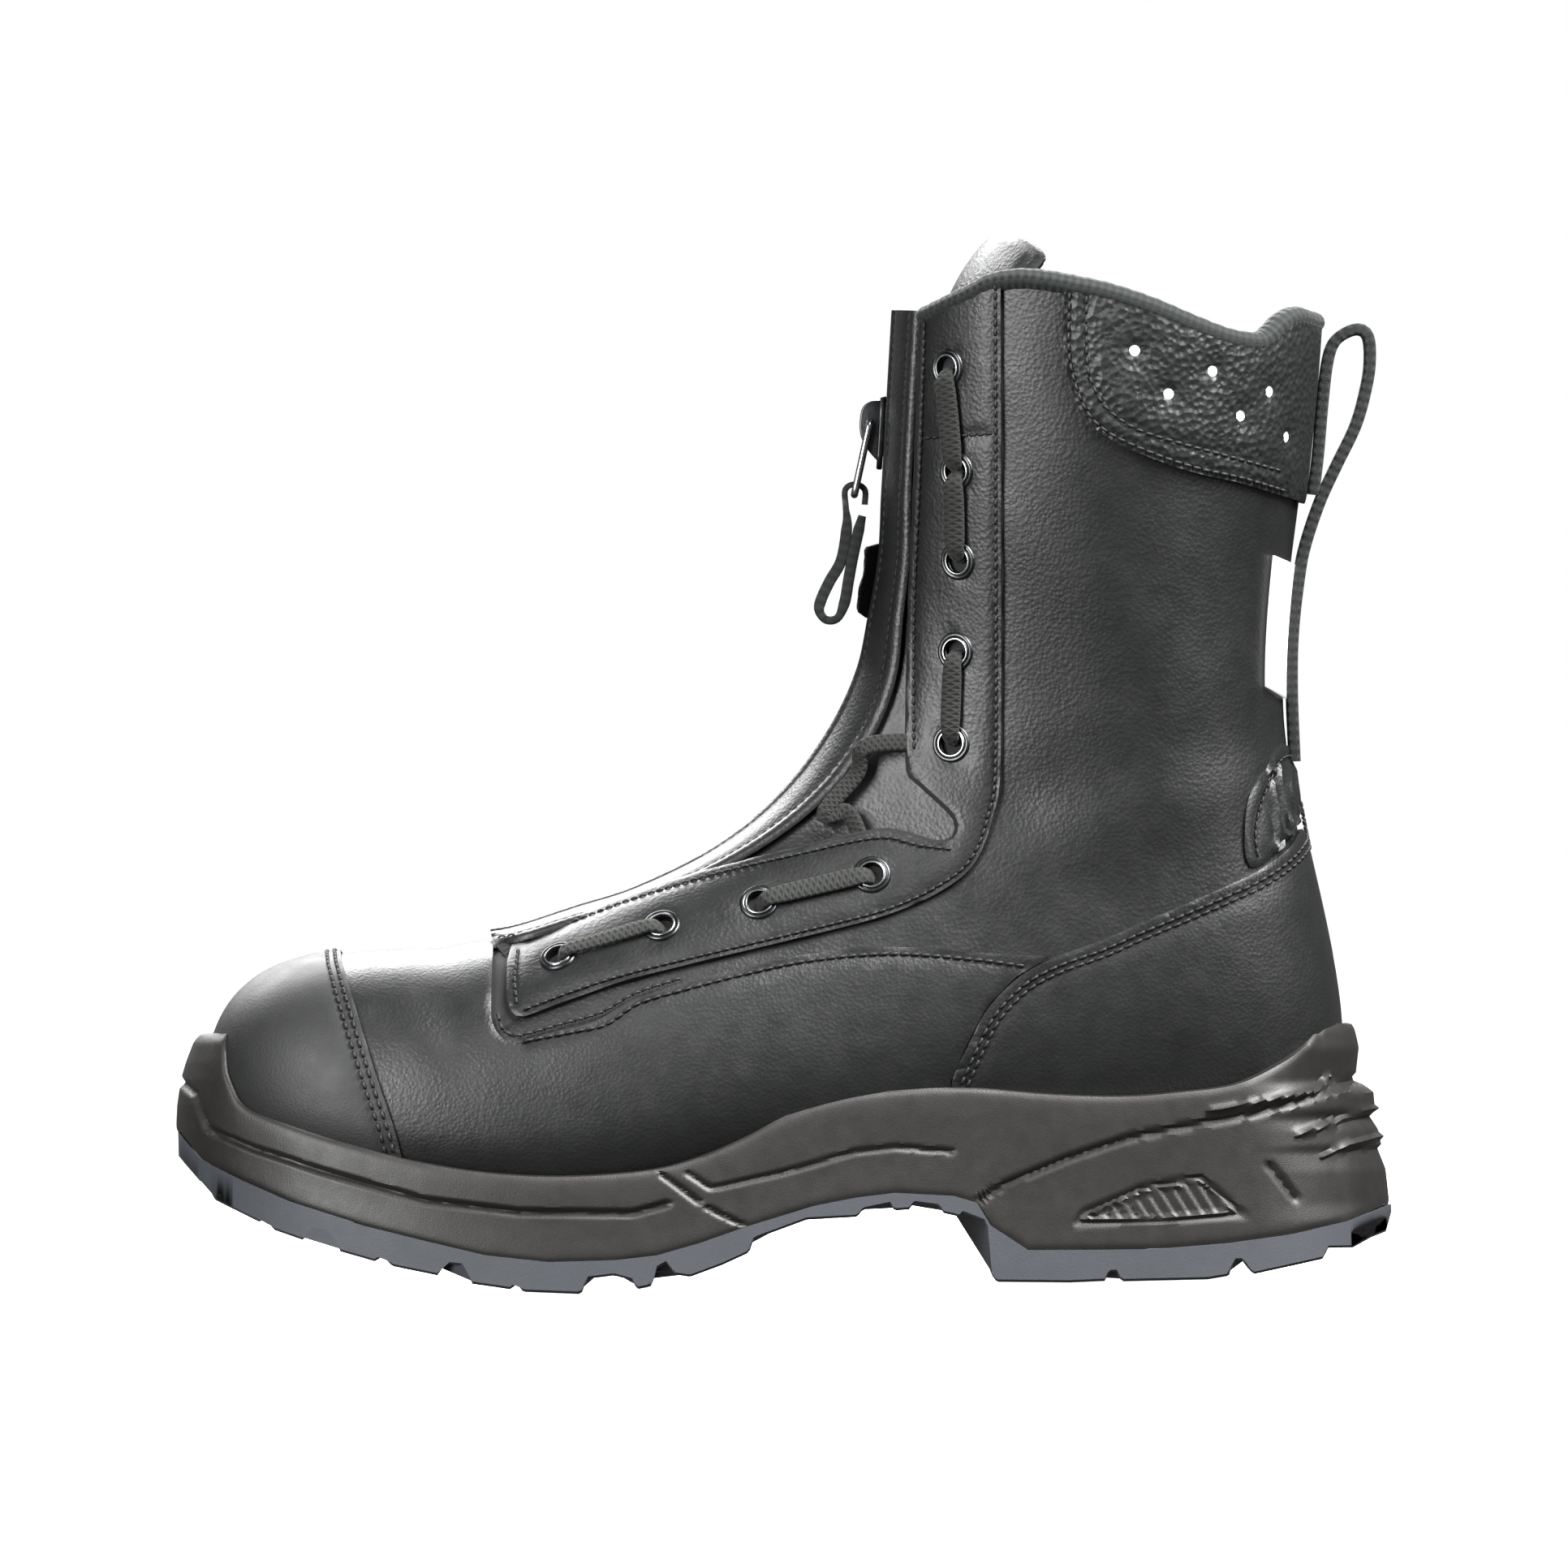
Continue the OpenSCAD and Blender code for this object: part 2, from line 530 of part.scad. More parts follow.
// Frame of the slider: X into the boot, Z up along the zipper, origin s below the zipper's top
module on_zip(s) {
    translate([zip_top[0] - s * sin(zip_lean), 0, zip_top[1] - s * cos(zip_lean)])
        rotate([0, zip_lean, 0]) children();
}

module zip_stops() {
    color("#2c2e30") for (side = [OUTER, INNER])
        on_zip(slider_mid - slider_len / 2 - 2) translate([0, side * 2, 0])
            cube([3, 2.2, 3], center = true);
}

pin_s = slider_mid - 2.5;
pin_off = -5.6;
pin_r = 1.2;
module zip_slider() {
    color("#55585b") on_zip(slider_mid) difference() {
        union() {
            for (x = [-3.3, 1.9]) slider_plate(x);
            translate([-1.8, -0.4, slider_len / 2 - 6]) cube([3.8, 0.8, 6]);
            for (side = [OUTER, INNER])
                translate([-1.8, side > 0 ? 3.6 : -slider_w / 2, -slider_len / 2 + 2])
                    cube([1.2, slider_w / 2 - 3.6, slider_len - 6]);
            slider_crown();
        }
        translate([pin_off, 0, slider_mid - pin_s]) rotate([90, 0, 0])
            cylinder(r = pin_r + 0.35, h = 20, center = true, $fn = 32);
    }
}
module slider_plate(x) {
    translate([x, 0, 0]) rotate([0, 90, 0]) linear_extrude(1.6) polygon([
        [-slider_len / 2, -slider_w / 2 + 1.5], [-slider_len / 2, slider_w / 2 - 1.5],
        [-slider_len / 2 + 4, slider_w / 2], [slider_len / 2 - 2, slider_w / 2 - 1.2],
        [slider_len / 2, slider_w / 2 - 3], [slider_len / 2, -slider_w / 2 + 3],
        [slider_len / 2 - 2, -slider_w / 2 + 1.2], [-slider_len / 2 + 4, -slider_w / 2]]);
}
module slider_crown() {
    rotate([90, 0, 0]) translate([0, 0, -1.6]) linear_extrude(3.2)
        polygon([[-3.2, 8], [-7, 6.5], [-8, 4], [-8, 0], [-6, -3], [-3.2, -7]]);
}

// Puller: a wire bail whose pin turns in the crown and whose lower bar holds the leather tab
pin_at = [zip_top[0] - pin_s * sin(zip_lean) + pin_off * cos(zip_lean),
          zip_top[1] - pin_s * cos(zip_lean) - pin_off * sin(zip_lean)];
bar_at = [pin_at[0] - 4.4, pin_at[1] - 18.5];
puller_half = 3.4;
module zip_puller() {
    color("#8a8d90") union() {
        for (p = [pin_at, bar_at]) translate([p[0], 0, p[1]]) rotate([90, 0, 0])
            cylinder(r = pin_r - 0.15, h = 2 * puller_half, center = true, $fn = 32);
        for (side = [OUTER, INNER]) translate([pin_at[0], side * puller_half, pin_at[1]])
            rotate([0, 180 + atan2(pin_at[0] - bar_at[0], pin_at[1] - bar_at[1]), 0])
                cylinder(r = pin_r - 0.05, h = norm(pin_at - bar_at), $fn = 32);
    }
}

tab_route = [[3.1, -2.4], [2.9, 1.6], [0.2, 3], [-2.6, 1.9], [-3.9, -3], [-5.6, -9], [-7, -15],
             [-9.6, -20], [-12, -25.5], [-12.4, -29], [-10.6, -32], [-7.4, -32.2], [-4.9, -29],
             [-4.2, -23], [-3.5, -15], [-2.7, -7]];
module pull_tab() {
    t = 0.8;
    k = len(tab_route);
    rings = [for (i = [0:k - 1])
        let (d = unit(tab_route[min(i + 1, k - 1)] - tab_route[max(i - 1, 0)]), n = [d[1], -d[0]] * t,
             a = bar_at + tab_route[i] + n, b = bar_at + tab_route[i] - n, h = tab_w / 2)
        [[a[0], -h, a[1]], [a[0], h, a[1]], [b[0], h, b[1]], [b[0], -h, b[1]]]];
    color("#1c1f1e") difference() {
        ring_solid(rings);
        for (side = [OUTER, INNER]) translate([bar_at[0], side * (2 + tab_w / 2), bar_at[1] + 3.5])
            cube([12, tab_w, 8], center = true);
    }
}

module hook_patch() {
    color("#151716") zip_band(INNER, 7.5, 20, 2.3, 7, 4, 3, 3.8, 5);
}

// ---- laces ----
// Runs between neighbouring eyelets lie outside the facing (true) or inside it (false)
run_outside = [true, true, false, true, false, true, false, true];
lace_out = leather_t + 0.9 + lace_r + 0.2;
lace_in = -1.6 - lace_r - 0.2;
function lace_points(side) = concat(
    [on_skin(eyelet_at[0], side, lace_in)],
    [for (i = [0:len(run_outside) - 1]) each lace_run(i, side)]);
function lace_run(i, side) =
    let (off = run_outside[i] ? lace_out : lace_in, a = eyelet_at[i], b = eyelet_at[i + 1],
         turn = i < 7 && run_outside[i] != run_outside[i + 1])
    concat(i == 0 || run_outside[i] != run_outside[i - 1] ? [on_skin(a, side, 0.6)] : [],
           i == ankle_run ? ankle_points(side)
               : [for (f = [0.02, 0.35, 0.65, 0.98]) on_skin(a + (b - a) * f, side, off)],
           turn || i == 7 ? [on_skin(b, side, 0.6)] : [],
           i == 7 ? [on_skin(b, side, lace_in)] : []);
// The run round the ankle goes out to the edge of the zipper insert and back
ankle_run = 4;
function ankle_points(side) = [
    on_skin([45.4, 138.2], side, lace_in), on_skin([35, 139], side, lace_in),
    [26.5, side * 26, 136], [18, side * 24.8, 129.5], [18.5, side * 25, 121.5],
    on_skin([20.5, 116], side, lace_in - 0.6), on_skin([21.5, 112], side, lace_in),
    on_skin([24, 105.2], side, lace_in)];
module lace(side) bar(lace_points(side), lace_r, [-side, 0, 0], 6);
module lace_outer() color("#23261f") lace(OUTER);
module lace_inner() color("#23261f") lace(INNER);

outsole();
midsole();
shank();
insole_board();
footbed();
vamp();
toe_cap();
safety_toe();
quarter_outer();
quarter_inner();
heel_counter();
heel_stiffener();
facing_outer();
facing_inner();
collar_outer();
collar_inner();
collar_foam();
top_binding();
achilles_panel();
reflective_strip();
pull_loop();
lining();
tongue();
zip_panel_outer();
zip_panel_inner();
zip_tape_outer();
zip_tape_inner();
zip_teeth_outer();
zip_teeth_inner();
zip_stops();
zip_slider();
zip_puller();
pull_tab();
hook_patch();
eyelets_outer();
eyelets_inner();
lace_outer();
lace_inner();
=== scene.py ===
"""Black lace-in zipper fire station boot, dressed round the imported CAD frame."""
import json
import logging
import math
from contextlib import contextmanager
from dataclasses import dataclass
from enum import Enum
from typing import Callable, Iterator, Optional, Sequence

import bpy
import numpy as np
from mathutils import Matrix, Vector
from mathutils.bvhtree import BVHTree
from mathutils.geometry import delaunay_2d_cdt

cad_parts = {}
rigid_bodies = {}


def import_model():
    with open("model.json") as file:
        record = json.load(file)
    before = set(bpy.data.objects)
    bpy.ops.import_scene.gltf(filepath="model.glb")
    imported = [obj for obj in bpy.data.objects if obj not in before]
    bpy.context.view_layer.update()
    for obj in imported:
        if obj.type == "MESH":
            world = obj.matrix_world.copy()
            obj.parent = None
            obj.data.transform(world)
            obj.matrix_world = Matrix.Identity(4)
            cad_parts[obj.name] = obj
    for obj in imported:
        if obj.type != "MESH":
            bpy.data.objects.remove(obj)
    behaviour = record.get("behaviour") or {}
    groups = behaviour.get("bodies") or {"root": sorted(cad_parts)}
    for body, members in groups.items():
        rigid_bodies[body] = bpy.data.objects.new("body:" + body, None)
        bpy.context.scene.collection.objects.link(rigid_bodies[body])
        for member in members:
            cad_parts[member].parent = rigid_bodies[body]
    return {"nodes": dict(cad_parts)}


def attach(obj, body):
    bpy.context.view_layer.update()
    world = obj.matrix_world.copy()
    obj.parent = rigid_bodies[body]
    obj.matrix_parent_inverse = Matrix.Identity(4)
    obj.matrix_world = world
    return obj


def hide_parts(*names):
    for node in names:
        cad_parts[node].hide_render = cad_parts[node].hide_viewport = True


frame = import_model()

LOG = logging.getLogger("boot")
MM = 0.001
Points = np.ndarray
Piece = bpy.types.Object
Socket = bpy.types.NodeSocket
ROOT_BODY = "boot"


class Side(Enum):
    """The two sides of the boot: outer is toward -Y."""

    OUTER = -1
    INNER = 1

    @property
    def label(self) -> str:
        """The side's name as it stands in the names of pieces and nodes."""
        return self.name.lower()


# ---------------------------------------------------------------- curves and surfaces
def spline_rows(table: Points, u: Points) -> Points:
    """Value of a uniform cubic B-spline through rows, with both ends held.

    Args:
        table: one row of numbers per knot.
        u: places along the table, 0 at its first row.

    Returns:
        One row of numbers per place.
    """
    t = np.asarray(table, float)
    t = np.vstack([2 * t[0] - t[1], t, 2 * t[-1] - t[-2]])
    u = np.atleast_1d(np.asarray(u, float))
    i = np.clip(np.floor(u).astype(int), 0, len(table) - 2)
    f = (u - i)[:, None]
    a, b, c, d = t[i], t[i + 1], t[i + 2], t[np.minimum(i + 3, len(t) - 1)]
    return ((1 - f) ** 3 * a + (3 * f ** 3 - 6 * f ** 2 + 4) * b
            + (-3 * f ** 3 + 3 * f ** 2 + 3 * f + 1) * c + f ** 3 * d) / 6


def rounded(points: Sequence, step: float = 1.5) -> Points:
    """Catmull-Rom curve through points, cut into even steps.

    Args:
        points: the points it passes through.
        step: distance between the returned points.

    Returns:
        Points along the curve, its two ends included.
    """
    p = np.asarray(points, float)
    if len(p) == 2:
        return even(p, step)
    q = np.vstack([2 * p[0] - p[1], p, 2 * p[-1] - p[-2]])
    out = [through(*q[i:i + 4], f) for i in range(len(p) - 1) for f in np.linspace(0, 1, 12, endpoint=False)]
    out.append(p[-1])
    return even(np.array(out), step)


def through(a: Points, b: Points, c: Points, d: Points, f: float) -> Points:
    """The place a share f of the way from b to c on the curve through four points."""
    return 0.5 * (2 * b + (c - a) * f + (2 * a - 5 * b + 4 * c - d) * f ** 2
                  + (3 * b - a - 3 * c + d) * f ** 3)


def lengths(points: Points) -> Points:
    """Distance along the polyline to each of its points."""
    return np.concatenate([[0], np.cumsum(np.linalg.norm(np.diff(points, axis=0), axis=1))])


def even(points: Points, step: float, closed: bool = False) -> Points:
    """The polyline cut into equal lengths near step.

    Args:
        points: the points.
        step: distance between points.
        closed: whether the line joins its own start.

    Returns:
        The new points, its ends included unless it is closed.
    """
    p = np.asarray(points, float)
    if closed:
        p = np.vstack([p, p[:1]])
    s = lengths(p)
    n = max(int(round(s[-1] / step)), 2)
    at = np.linspace(0, s[-1], n + 1)
    out = np.stack([np.interp(at, s, p[:, k]) for k in range(p.shape[1])], axis=1)
    return out[:-1] if closed else out


def unit_rows(v: Points) -> Points:
    """Each row scaled to length one."""
    return v / np.maximum(np.linalg.norm(v, axis=-1, keepdims=True), 1e-9)


def shifted(points: Points, by: float) -> Points:
    """The flat polyline moved sideways by a distance, to its left when positive."""
    t = unit_rows(np.gradient(points, axis=0))
    return points + by * np.stack([-t[:, 1], t[:, 0]], axis=1)


def inside(points: Points, loop: Points) -> Points:
    """Whether each flat point lies inside a closed loop."""
    x, y = points[:, 0][:, None], points[:, 1][:, None]
    x0, y0 = loop[:, 0], loop[:, 1]
    x1, y1 = np.roll(x0, -1), np.roll(y0, -1)
    crosses = (y0 > y) != (y1 > y)
    dy = np.where(np.abs(y1 - y0) < 1e-12, 1e-12, y1 - y0)
    return (np.sum(crosses & (x < x0 + (y - y0) * (x1 - x0) / dy), axis=1) % 2) == 1


def gap_to(points: Points, others: Points) -> Points:
    """Distance from each point to the nearest of the others.

    Args:
        points: the points.
        others: the points that are measured to.

    Returns:
        One distance per point.
    """
    if not len(others):
        return np.full(len(points), 1e6)
    out = np.empty(len(points))
    for i in range(0, len(points), 1500):
        d = points[i:i + 1500, None, :] - others[None, :, :]
        out[i:i + 1500] = np.sqrt((d * d).sum(-1).min(1))
    return out


class Last:
    """The form that the upper is pulled over: cross-sections that fan from toe to collar."""

    ROWS = np.array([
        [-145.5, 57, -145, 50.5, 8, 4, 0.55, 0.7, 0.7],
        [-143.8, 66, -143, 46, 19, 4, 0.58, 0.7, 0.6],
        [-140, 74.3, -139, 40, 28.5, 4, 0.6, 0.7, 0.55],
        [-132.5, 81.3, -131.5, 34.5, 36.5, 3.5, 0.62, 0.72, 0.5],
        [-120, 85.5, -120, 28.5, 43, 2.5, 0.64, 0.74, 0.5],
        [-103, 87, -103, 24, 46.5, 1.5, 0.66, 0.76, 0.5],
        [-85, 86.8, -82, 20.5, 48.5, 0.5, 0.68, 0.78, 0.5],
        [-66, 90.5, -58, 19, 49, -0.5, 0.68, 0.78, 0.5],
        [-44, 100.5, -30, 21, 48, -2.5, 0.66, 0.78, 0.5],
        [-20, 109.5, 4, 28, 43.5, -3.5, 0.64, 0.8, 0.55],
        [0, 121.5, 45, 33.5, 39, -3, 0.62, 0.8, 0.6],
        [10.5, 134, 95, 32, 37, -2, 0.58, 0.8, 0.65],
        [17.5, 147, 130, 37, 36.5, -1, 0.54, 0.8, 0.7],
        [22, 159.5, 142.5, 50, 36.5, 0, 0.52, 0.8, 0.75],
        [25.5, 171, 142.5, 72, 37, 0, 0.5, 0.8, 0.8],
        [28, 184, 137, 100, 38, 0, 0.5, 0.8, 0.85],
        [29.5, 198, 131.2, 128, 40, 0, 0.5, 0.8, 0.85],
        [30.8, 213, 130.8, 156, 42.5, 0, 0.5, 0.8, 0.85],
        [32, 228, 134, 184, 45, 0, 0.5, 0.8, 0.85],
        [33.2, 243, 138, 212, 47, 0, 0.5, 0.8, 0.85],
        [34.3, 257, 141, 240, 48.5, 0, 0.5, 0.8, 0.85],
        [35, 272, 142.5, 262, 49.5, 0, 0.5, 0.8, 0.85]])
    END = len(ROWS) - 1

    @classmethod
    def point(cls, uv: Points) -> Points:
        """Points of the last, in millimetres, at rows u and angles v (0 front, 180 back).

        Args:
            uv: rows and angles on the last.

        Returns:
            One place per row.
        """
        s = spline_rows(cls.ROWS, uv[:, 0])
        r = np.radians(uv[:, 1])
        c, m = np.cos(r), s[:, 6]
        along = np.where(c > 0, m * (1 - c), m - (1 - m) * c)
        across = np.sign(np.sin(r)) * np.abs(np.sin(r)) ** np.where(c > 0, s[:, 7], s[:, 8])
        return np.stack([s[:, 0] + (s[:, 2] - s[:, 0]) * along, s[:, 5] + s[:, 4] * across,
                         s[:, 1] + (s[:, 3] - s[:, 1]) * along], axis=1)

    @classmethod
    def normal(cls, uv: Points) -> Points:
        """Outward normals at rows u and angles v."""
        du, dv = np.array([0.08, 0.0]), np.array([0.0, 2.5])
        lo, hi = uv - du, uv + du
        lo[:, 0] = np.maximum(lo[:, 0], 0)
        hi[:, 0] = np.minimum(hi[:, 0], cls.END)
        return unit_rows(np.cross(cls.point(hi) - cls.point(lo), cls.point(uv + dv) - cls.point(uv - dv)))

    @classmethod
    def skin(cls, uv: Points, off: Points) -> Points:
        """Points at a height off above the last."""
        return cls.point(uv) + cls.normal(uv) * np.broadcast_to(off, len(uv))[:, None]

    @classmethod
    def uv(cls, xz: Points, side: Side) -> Points:
        """Rows and angles of the points that show at x, z from one side.

        Args:
            xz: side-view places in millimetres.
            side: the side that they are seen from.

        Returns:
            One row and angle per place; the angle is negative on the outer side.
        """
        xz = np.atleast_2d(np.asarray(xz, float))
        lo, hi = np.full(len(xz), 0.2), np.full(len(xz), float(cls.END))
        for _ in range(26):
            mid = (lo + hi) / 2
            s = spline_rows(cls.ROWS, mid)
            up = (s[:, 2] - s[:, 0]) * (xz[:, 1] - s[:, 1]) - (s[:, 3] - s[:, 1]) * (xz[:, 0] - s[:, 0]) > 0
            lo, hi = np.where(up, mid, lo), np.where(up, hi, mid)
        s = spline_rows(cls.ROWS, lo)
        d = s[:, 2:4] - s[:, 0:2]
        a = np.clip(((xz - s[:, 0:2]) * d).sum(1) / (d * d).sum(1), 0.0, 1.0)
        m = s[:, 6]
        v = np.where(a < m, np.degrees(np.arccos(np.clip(1 - a / m, -1, 1))),
                     np.degrees(np.arccos(np.clip((m - a) / (1 - m), -1, 1))))
        return np.stack([lo, side.value * v], axis=1)

    @classmethod
    def on(cls, xz: Points, side: Side, off: float) -> Points:
        """3-D points at side-view places, at a height off above the last."""
        return cls.skin(cls.uv(xz, side), off)


# ---------------------------------------------------------------- mesh helpers
def clear_selection() -> None:
    """Deselects everything, so that an operator acts on new work only."""
    if bpy.context.object and bpy.context.object.mode != "OBJECT":
        bpy.ops.object.mode_set(mode="OBJECT")
    bpy.ops.object.select_all(action="DESELECT")


def pick(obj: Piece) -> None:
    """Makes obj the only selected and the active object."""
    clear_selection()
    obj.select_set(True)
    bpy.context.view_layer.objects.active = obj


@contextmanager
def editing(obj: Piece) -> Iterator[None]:
    """Edit mode on obj, with all of it selected at the start."""
    pick(obj)
    bpy.ops.object.mode_set(mode="EDIT")
    bpy.ops.mesh.select_all(action="SELECT")
    yield
    bpy.ops.object.mode_set(mode="OBJECT")


def face_out(obj: Piece) -> None:
    """Points the faces of a closed shape outward."""
    with editing(obj):
        bpy.ops.mesh.normals_make_consistent(inside=False)


def grid_quads(rows: int, cols: int, turned: bool = False) -> Points:
    """Faces of a grid of points that is stored row by row; turned ones face the other way."""
    at = np.arange(rows * cols).reshape(rows, cols)
    quads = np.stack([at[:-1, :-1], at[:-1, 1:], at[1:, 1:], at[1:, :-1]], axis=-1).reshape(-1, 4)
    return quads[:, [0, 3, 2, 1]] if turned else quads


def stacked(rings: Points, closed: bool = False, capped: bool = True) -> tuple:
    """Points and faces of closed rings that follow each other.

    Args:
        rings: one ring of points per place.
        closed: whether the last ring joins the first.
        capped: whether a face closes each end.

    Returns:
        Points and faces.
    """
    n, k = rings.shape[:2]
    faces = []
    for i in range(n if closed else n - 1):
        a, b = i * k, ((i + 1) % n) * k
        faces += [[a + j, a + (j + 1) % k, b + (j + 1) % k, b + j] for j in range(k)]
    if capped and not closed:
        faces += [list(range(k))[::-1], [(n - 1) * k + j for j in range(k)]]
    return rings.reshape(-1, 3), faces


def slab(name: str, first: Points, second: Points, turned: bool = False) -> Piece:
    """A closed sheet between two grids of points, with its rim and its faces finished.

    Args:
        name: the piece's name.
        first: the first grid of points.
        second: the second grid.
        turned: whether the faces look the other way.

    Returns:
        The piece.
    """
    rows, cols = first.shape[:2]
    n = rows * cols
    at = np.arange(n).reshape(rows, cols)
    quads = grid_quads(rows, cols, turned)
    rim = np.concatenate([at[0, :-1], at[:-1, -1], at[-1, :0:-1], at[:0:-1, 0]])
    side = np.stack([rim, np.roll(rim, -1), np.roll(rim, -1) + n, rim + n], axis=-1)
    verts = np.vstack([first.reshape(-1, 3), second.reshape(-1, 3)])
    obj = new_object(name, verts, np.vstack([quads, quads[:, ::-1] + n, side]))
    close_up(obj)
    return obj


def close_up(obj: Piece) -> None:
    """Fills open rings, cuts the faces into triangles and points them outward.

    Args:
        obj: the piece.
    """
    with editing(obj):
        bpy.ops.mesh.select_all(action="DESELECT")
        bpy.ops.mesh.select_mode(type="EDGE")
        bpy.ops.mesh.select_non_manifold()
        bpy.ops.mesh.edge_face_add()
        bpy.ops.mesh.select_all(action="SELECT")
        bpy.ops.mesh.quads_convert_to_tris(ngon_method="BEAUTY")
        bpy.ops.mesh.normals_make_consistent(inside=False)


def prism(name: str, first: Sequence, second: Sequence, bevel: float, sharper: float) -> Piece:
    """A bevelled block between two equal outlines.

    Args:
        name: the piece's name.
        first: points of one end.
        second: points of the other end.
        bevel: width of the bevel.
        sharper: edges sharper than this angle, in degrees, are bevelled.

    Returns:
        The object.
    """
    n = len(first)
    faces = [list(range(n))[::-1], list(range(n, 2 * n))]
    faces += [[i, (i + 1) % n, n + (i + 1) % n, n + i] for i in range(n)]
    obj = new_object(name, [*first, *second], faces)
    face_out(obj)
    apply_modifier(obj, "BEVEL", width=bevel * MM, segments=3, limit_method="ANGLE",
                   angle_limit=math.radians(sharper))
    return obj


def block(size: Sequence[float], at: Sequence[float], bevel: float, segments: int = 3) -> Piece:
    """A bevelled block of a size at a place, in millimetres.

    Args:
        size: its three sizes.
        at: the place, in millimetres.
        bevel: width of the bevel.
        segments: segments of the bevel.

    Returns:
        The piece.
    """
    clear_selection()
    bpy.ops.mesh.primitive_cube_add(size=1)
    obj = bpy.context.object
    obj.scale = [s * MM for s in size]
    obj.location = [c * MM for c in at]
    bpy.ops.object.transform_apply(location=True, scale=True)
    with editing(obj):
        bpy.ops.mesh.bevel(offset=bevel * MM, segments=segments, affect="EDGES")
    return obj


def new_object(name: str, verts: Points, faces: Sequence, uv: Optional[Points] = None) -> Piece:
    """A mesh object from points in millimetres.

    Args:
        name: the piece's name.
        verts: points in millimetres.
        faces: index lists.
        uv: one flat place per point for the piece's own UV map, in millimetres.

    Returns:
        The linked object, in metres, shaded smooth.
    """
    mesh = bpy.data.meshes.new(name)
    mesh.from_pydata((np.asarray(verts) * MM).tolist(), [], [list(map(int, f)) for f in faces])
    if uv is not None:
        layer = mesh.uv_layers.new(name="UVMap")
        index = np.empty(len(mesh.loops), dtype=np.int32)
        mesh.loops.foreach_get("vertex_index", index)
        layer.data.foreach_set("uv", (np.asarray(uv)[index] * MM).astype(np.float32).ravel())
    mesh.validate()
    mesh.polygons.foreach_set("use_smooth", [True] * len(mesh.polygons))
    obj = bpy.data.objects.new(name, mesh)
    bpy.context.scene.collection.objects.link(obj)
    return obj


def apply_modifier(obj: Piece, kind: str, **settings: object) -> None:
    """Adds a modifier with settings to obj and applies it."""
    pick(obj)
    modifier = obj.modifiers.new(kind.title(), kind)
    for key, value in settings.items():
        setattr(modifier, key, value)
    bpy.ops.object.modifier_apply(modifier=modifier.name)


def smooth(obj: Piece, degrees: float = 40.0) -> None:
    """Shades obj smooth except across edges sharper than an angle."""
    pick(obj)
    bpy.ops.object.shade_smooth_by_angle(angle=math.radians(degrees), keep_sharp_edges=True)


def joined(name: str, parts: Sequence[Piece]) -> Piece:
    """The parts as one object of the given name.

    Args:
        name: the piece's name.
        parts: the pieces that are joined.

    Returns:
        The piece.
    """
    clear_selection()
    for part in parts:
        part.select_set(True)
    bpy.context.view_layer.objects.active = parts[0]
    if len(parts) > 1:
        bpy.ops.object.join()
    parts[0].name = name
    parts[0].data.name = name
    return parts[0]


def placed_copies(name: str, master: Piece, places: Sequence[Matrix]) -> Piece:
    """One object with a copy of the master's mesh at each place; the master is removed.

    Args:
        name: the new piece's name.
        master: the piece that is copied, in metres round its own origin.
        places: one matrix per copy.

    Returns:
        The new object.
    """
    mesh = master.data
    n, base = len(mesh.vertices), np.empty(len(mesh.vertices) * 3)
    mesh.vertices.foreach_get("co", base)
    base = base.reshape(-1, 3)
    faces = [list(p.vertices) for p in mesh.polygons]
    verts, all_faces = [], []
    for k, place in enumerate(places):
        m = np.array(place)
        verts.append(base @ m[:3, :3].T + m[:3, 3])
        all_faces += [[i + k * n for i in f] for f in faces]
    obj = new_object(name, np.vstack(verts) / MM, all_faces)
    bpy.data.objects.remove(master)
    return obj


def aimed(at: Points, z_axis: Points, x_axis: Points) -> Matrix:
    """Matrix that puts a piece at a place in millimetres, with its Z and X along two directions."""
    z = Vector(z_axis).normalized()
    x = (Vector(x_axis) - z * Vector(x_axis).dot(z)).normalized()
    y = z.cross(x)
    m = Matrix((x, y, z)).transposed().to_4x4()
    m.translation = Vector(at) * MM
    return m


def sweep(name: str, path: Points, up: Points, section: Points, closed: bool = False) -> Piece:
    """A strip or bar: a flat section carried along a path.

    Args:
        name: the piece's name.
        path: points in millimetres.
        up: one direction per point that the section's second axis leans to.
        section: closed outline as (across, up) pairs in millimetres, or one outline per point.
        closed: whether the path joins its own start.

    Returns:
        The object, with UVs of length along and distance round, in millimetres.
    """
    if closed:
        t = unit_rows(np.roll(path, -1, 0) - np.roll(path, 1, 0))
    else:
        t = unit_rows(np.gradient(path, axis=0))
    across = unit_rows(np.cross(t, up))
    up = np.cross(across, t)
    sec = np.asarray(section, float)
    if sec.ndim == 2:
        sec = np.broadcast_to(sec, (len(path),) + sec.shape)
    rings = path[:, None, :] + sec[:, :, 0:1] * across[:, None, :] + sec[:, :, 1:2] * up[:, None, :]
    verts, faces = stacked(rings, closed)
    obj = new_object(name, verts, faces, tube_uv(path, sec[0]))
    face_out(obj)
    return obj


def tube_uv(path: Points, section: Points) -> Points:
    """UVs of a swept piece: length along its path and distance round its section."""
    return np.stack([np.repeat(lengths(path), len(section)), np.tile(lengths(section), len(path))], axis=1)


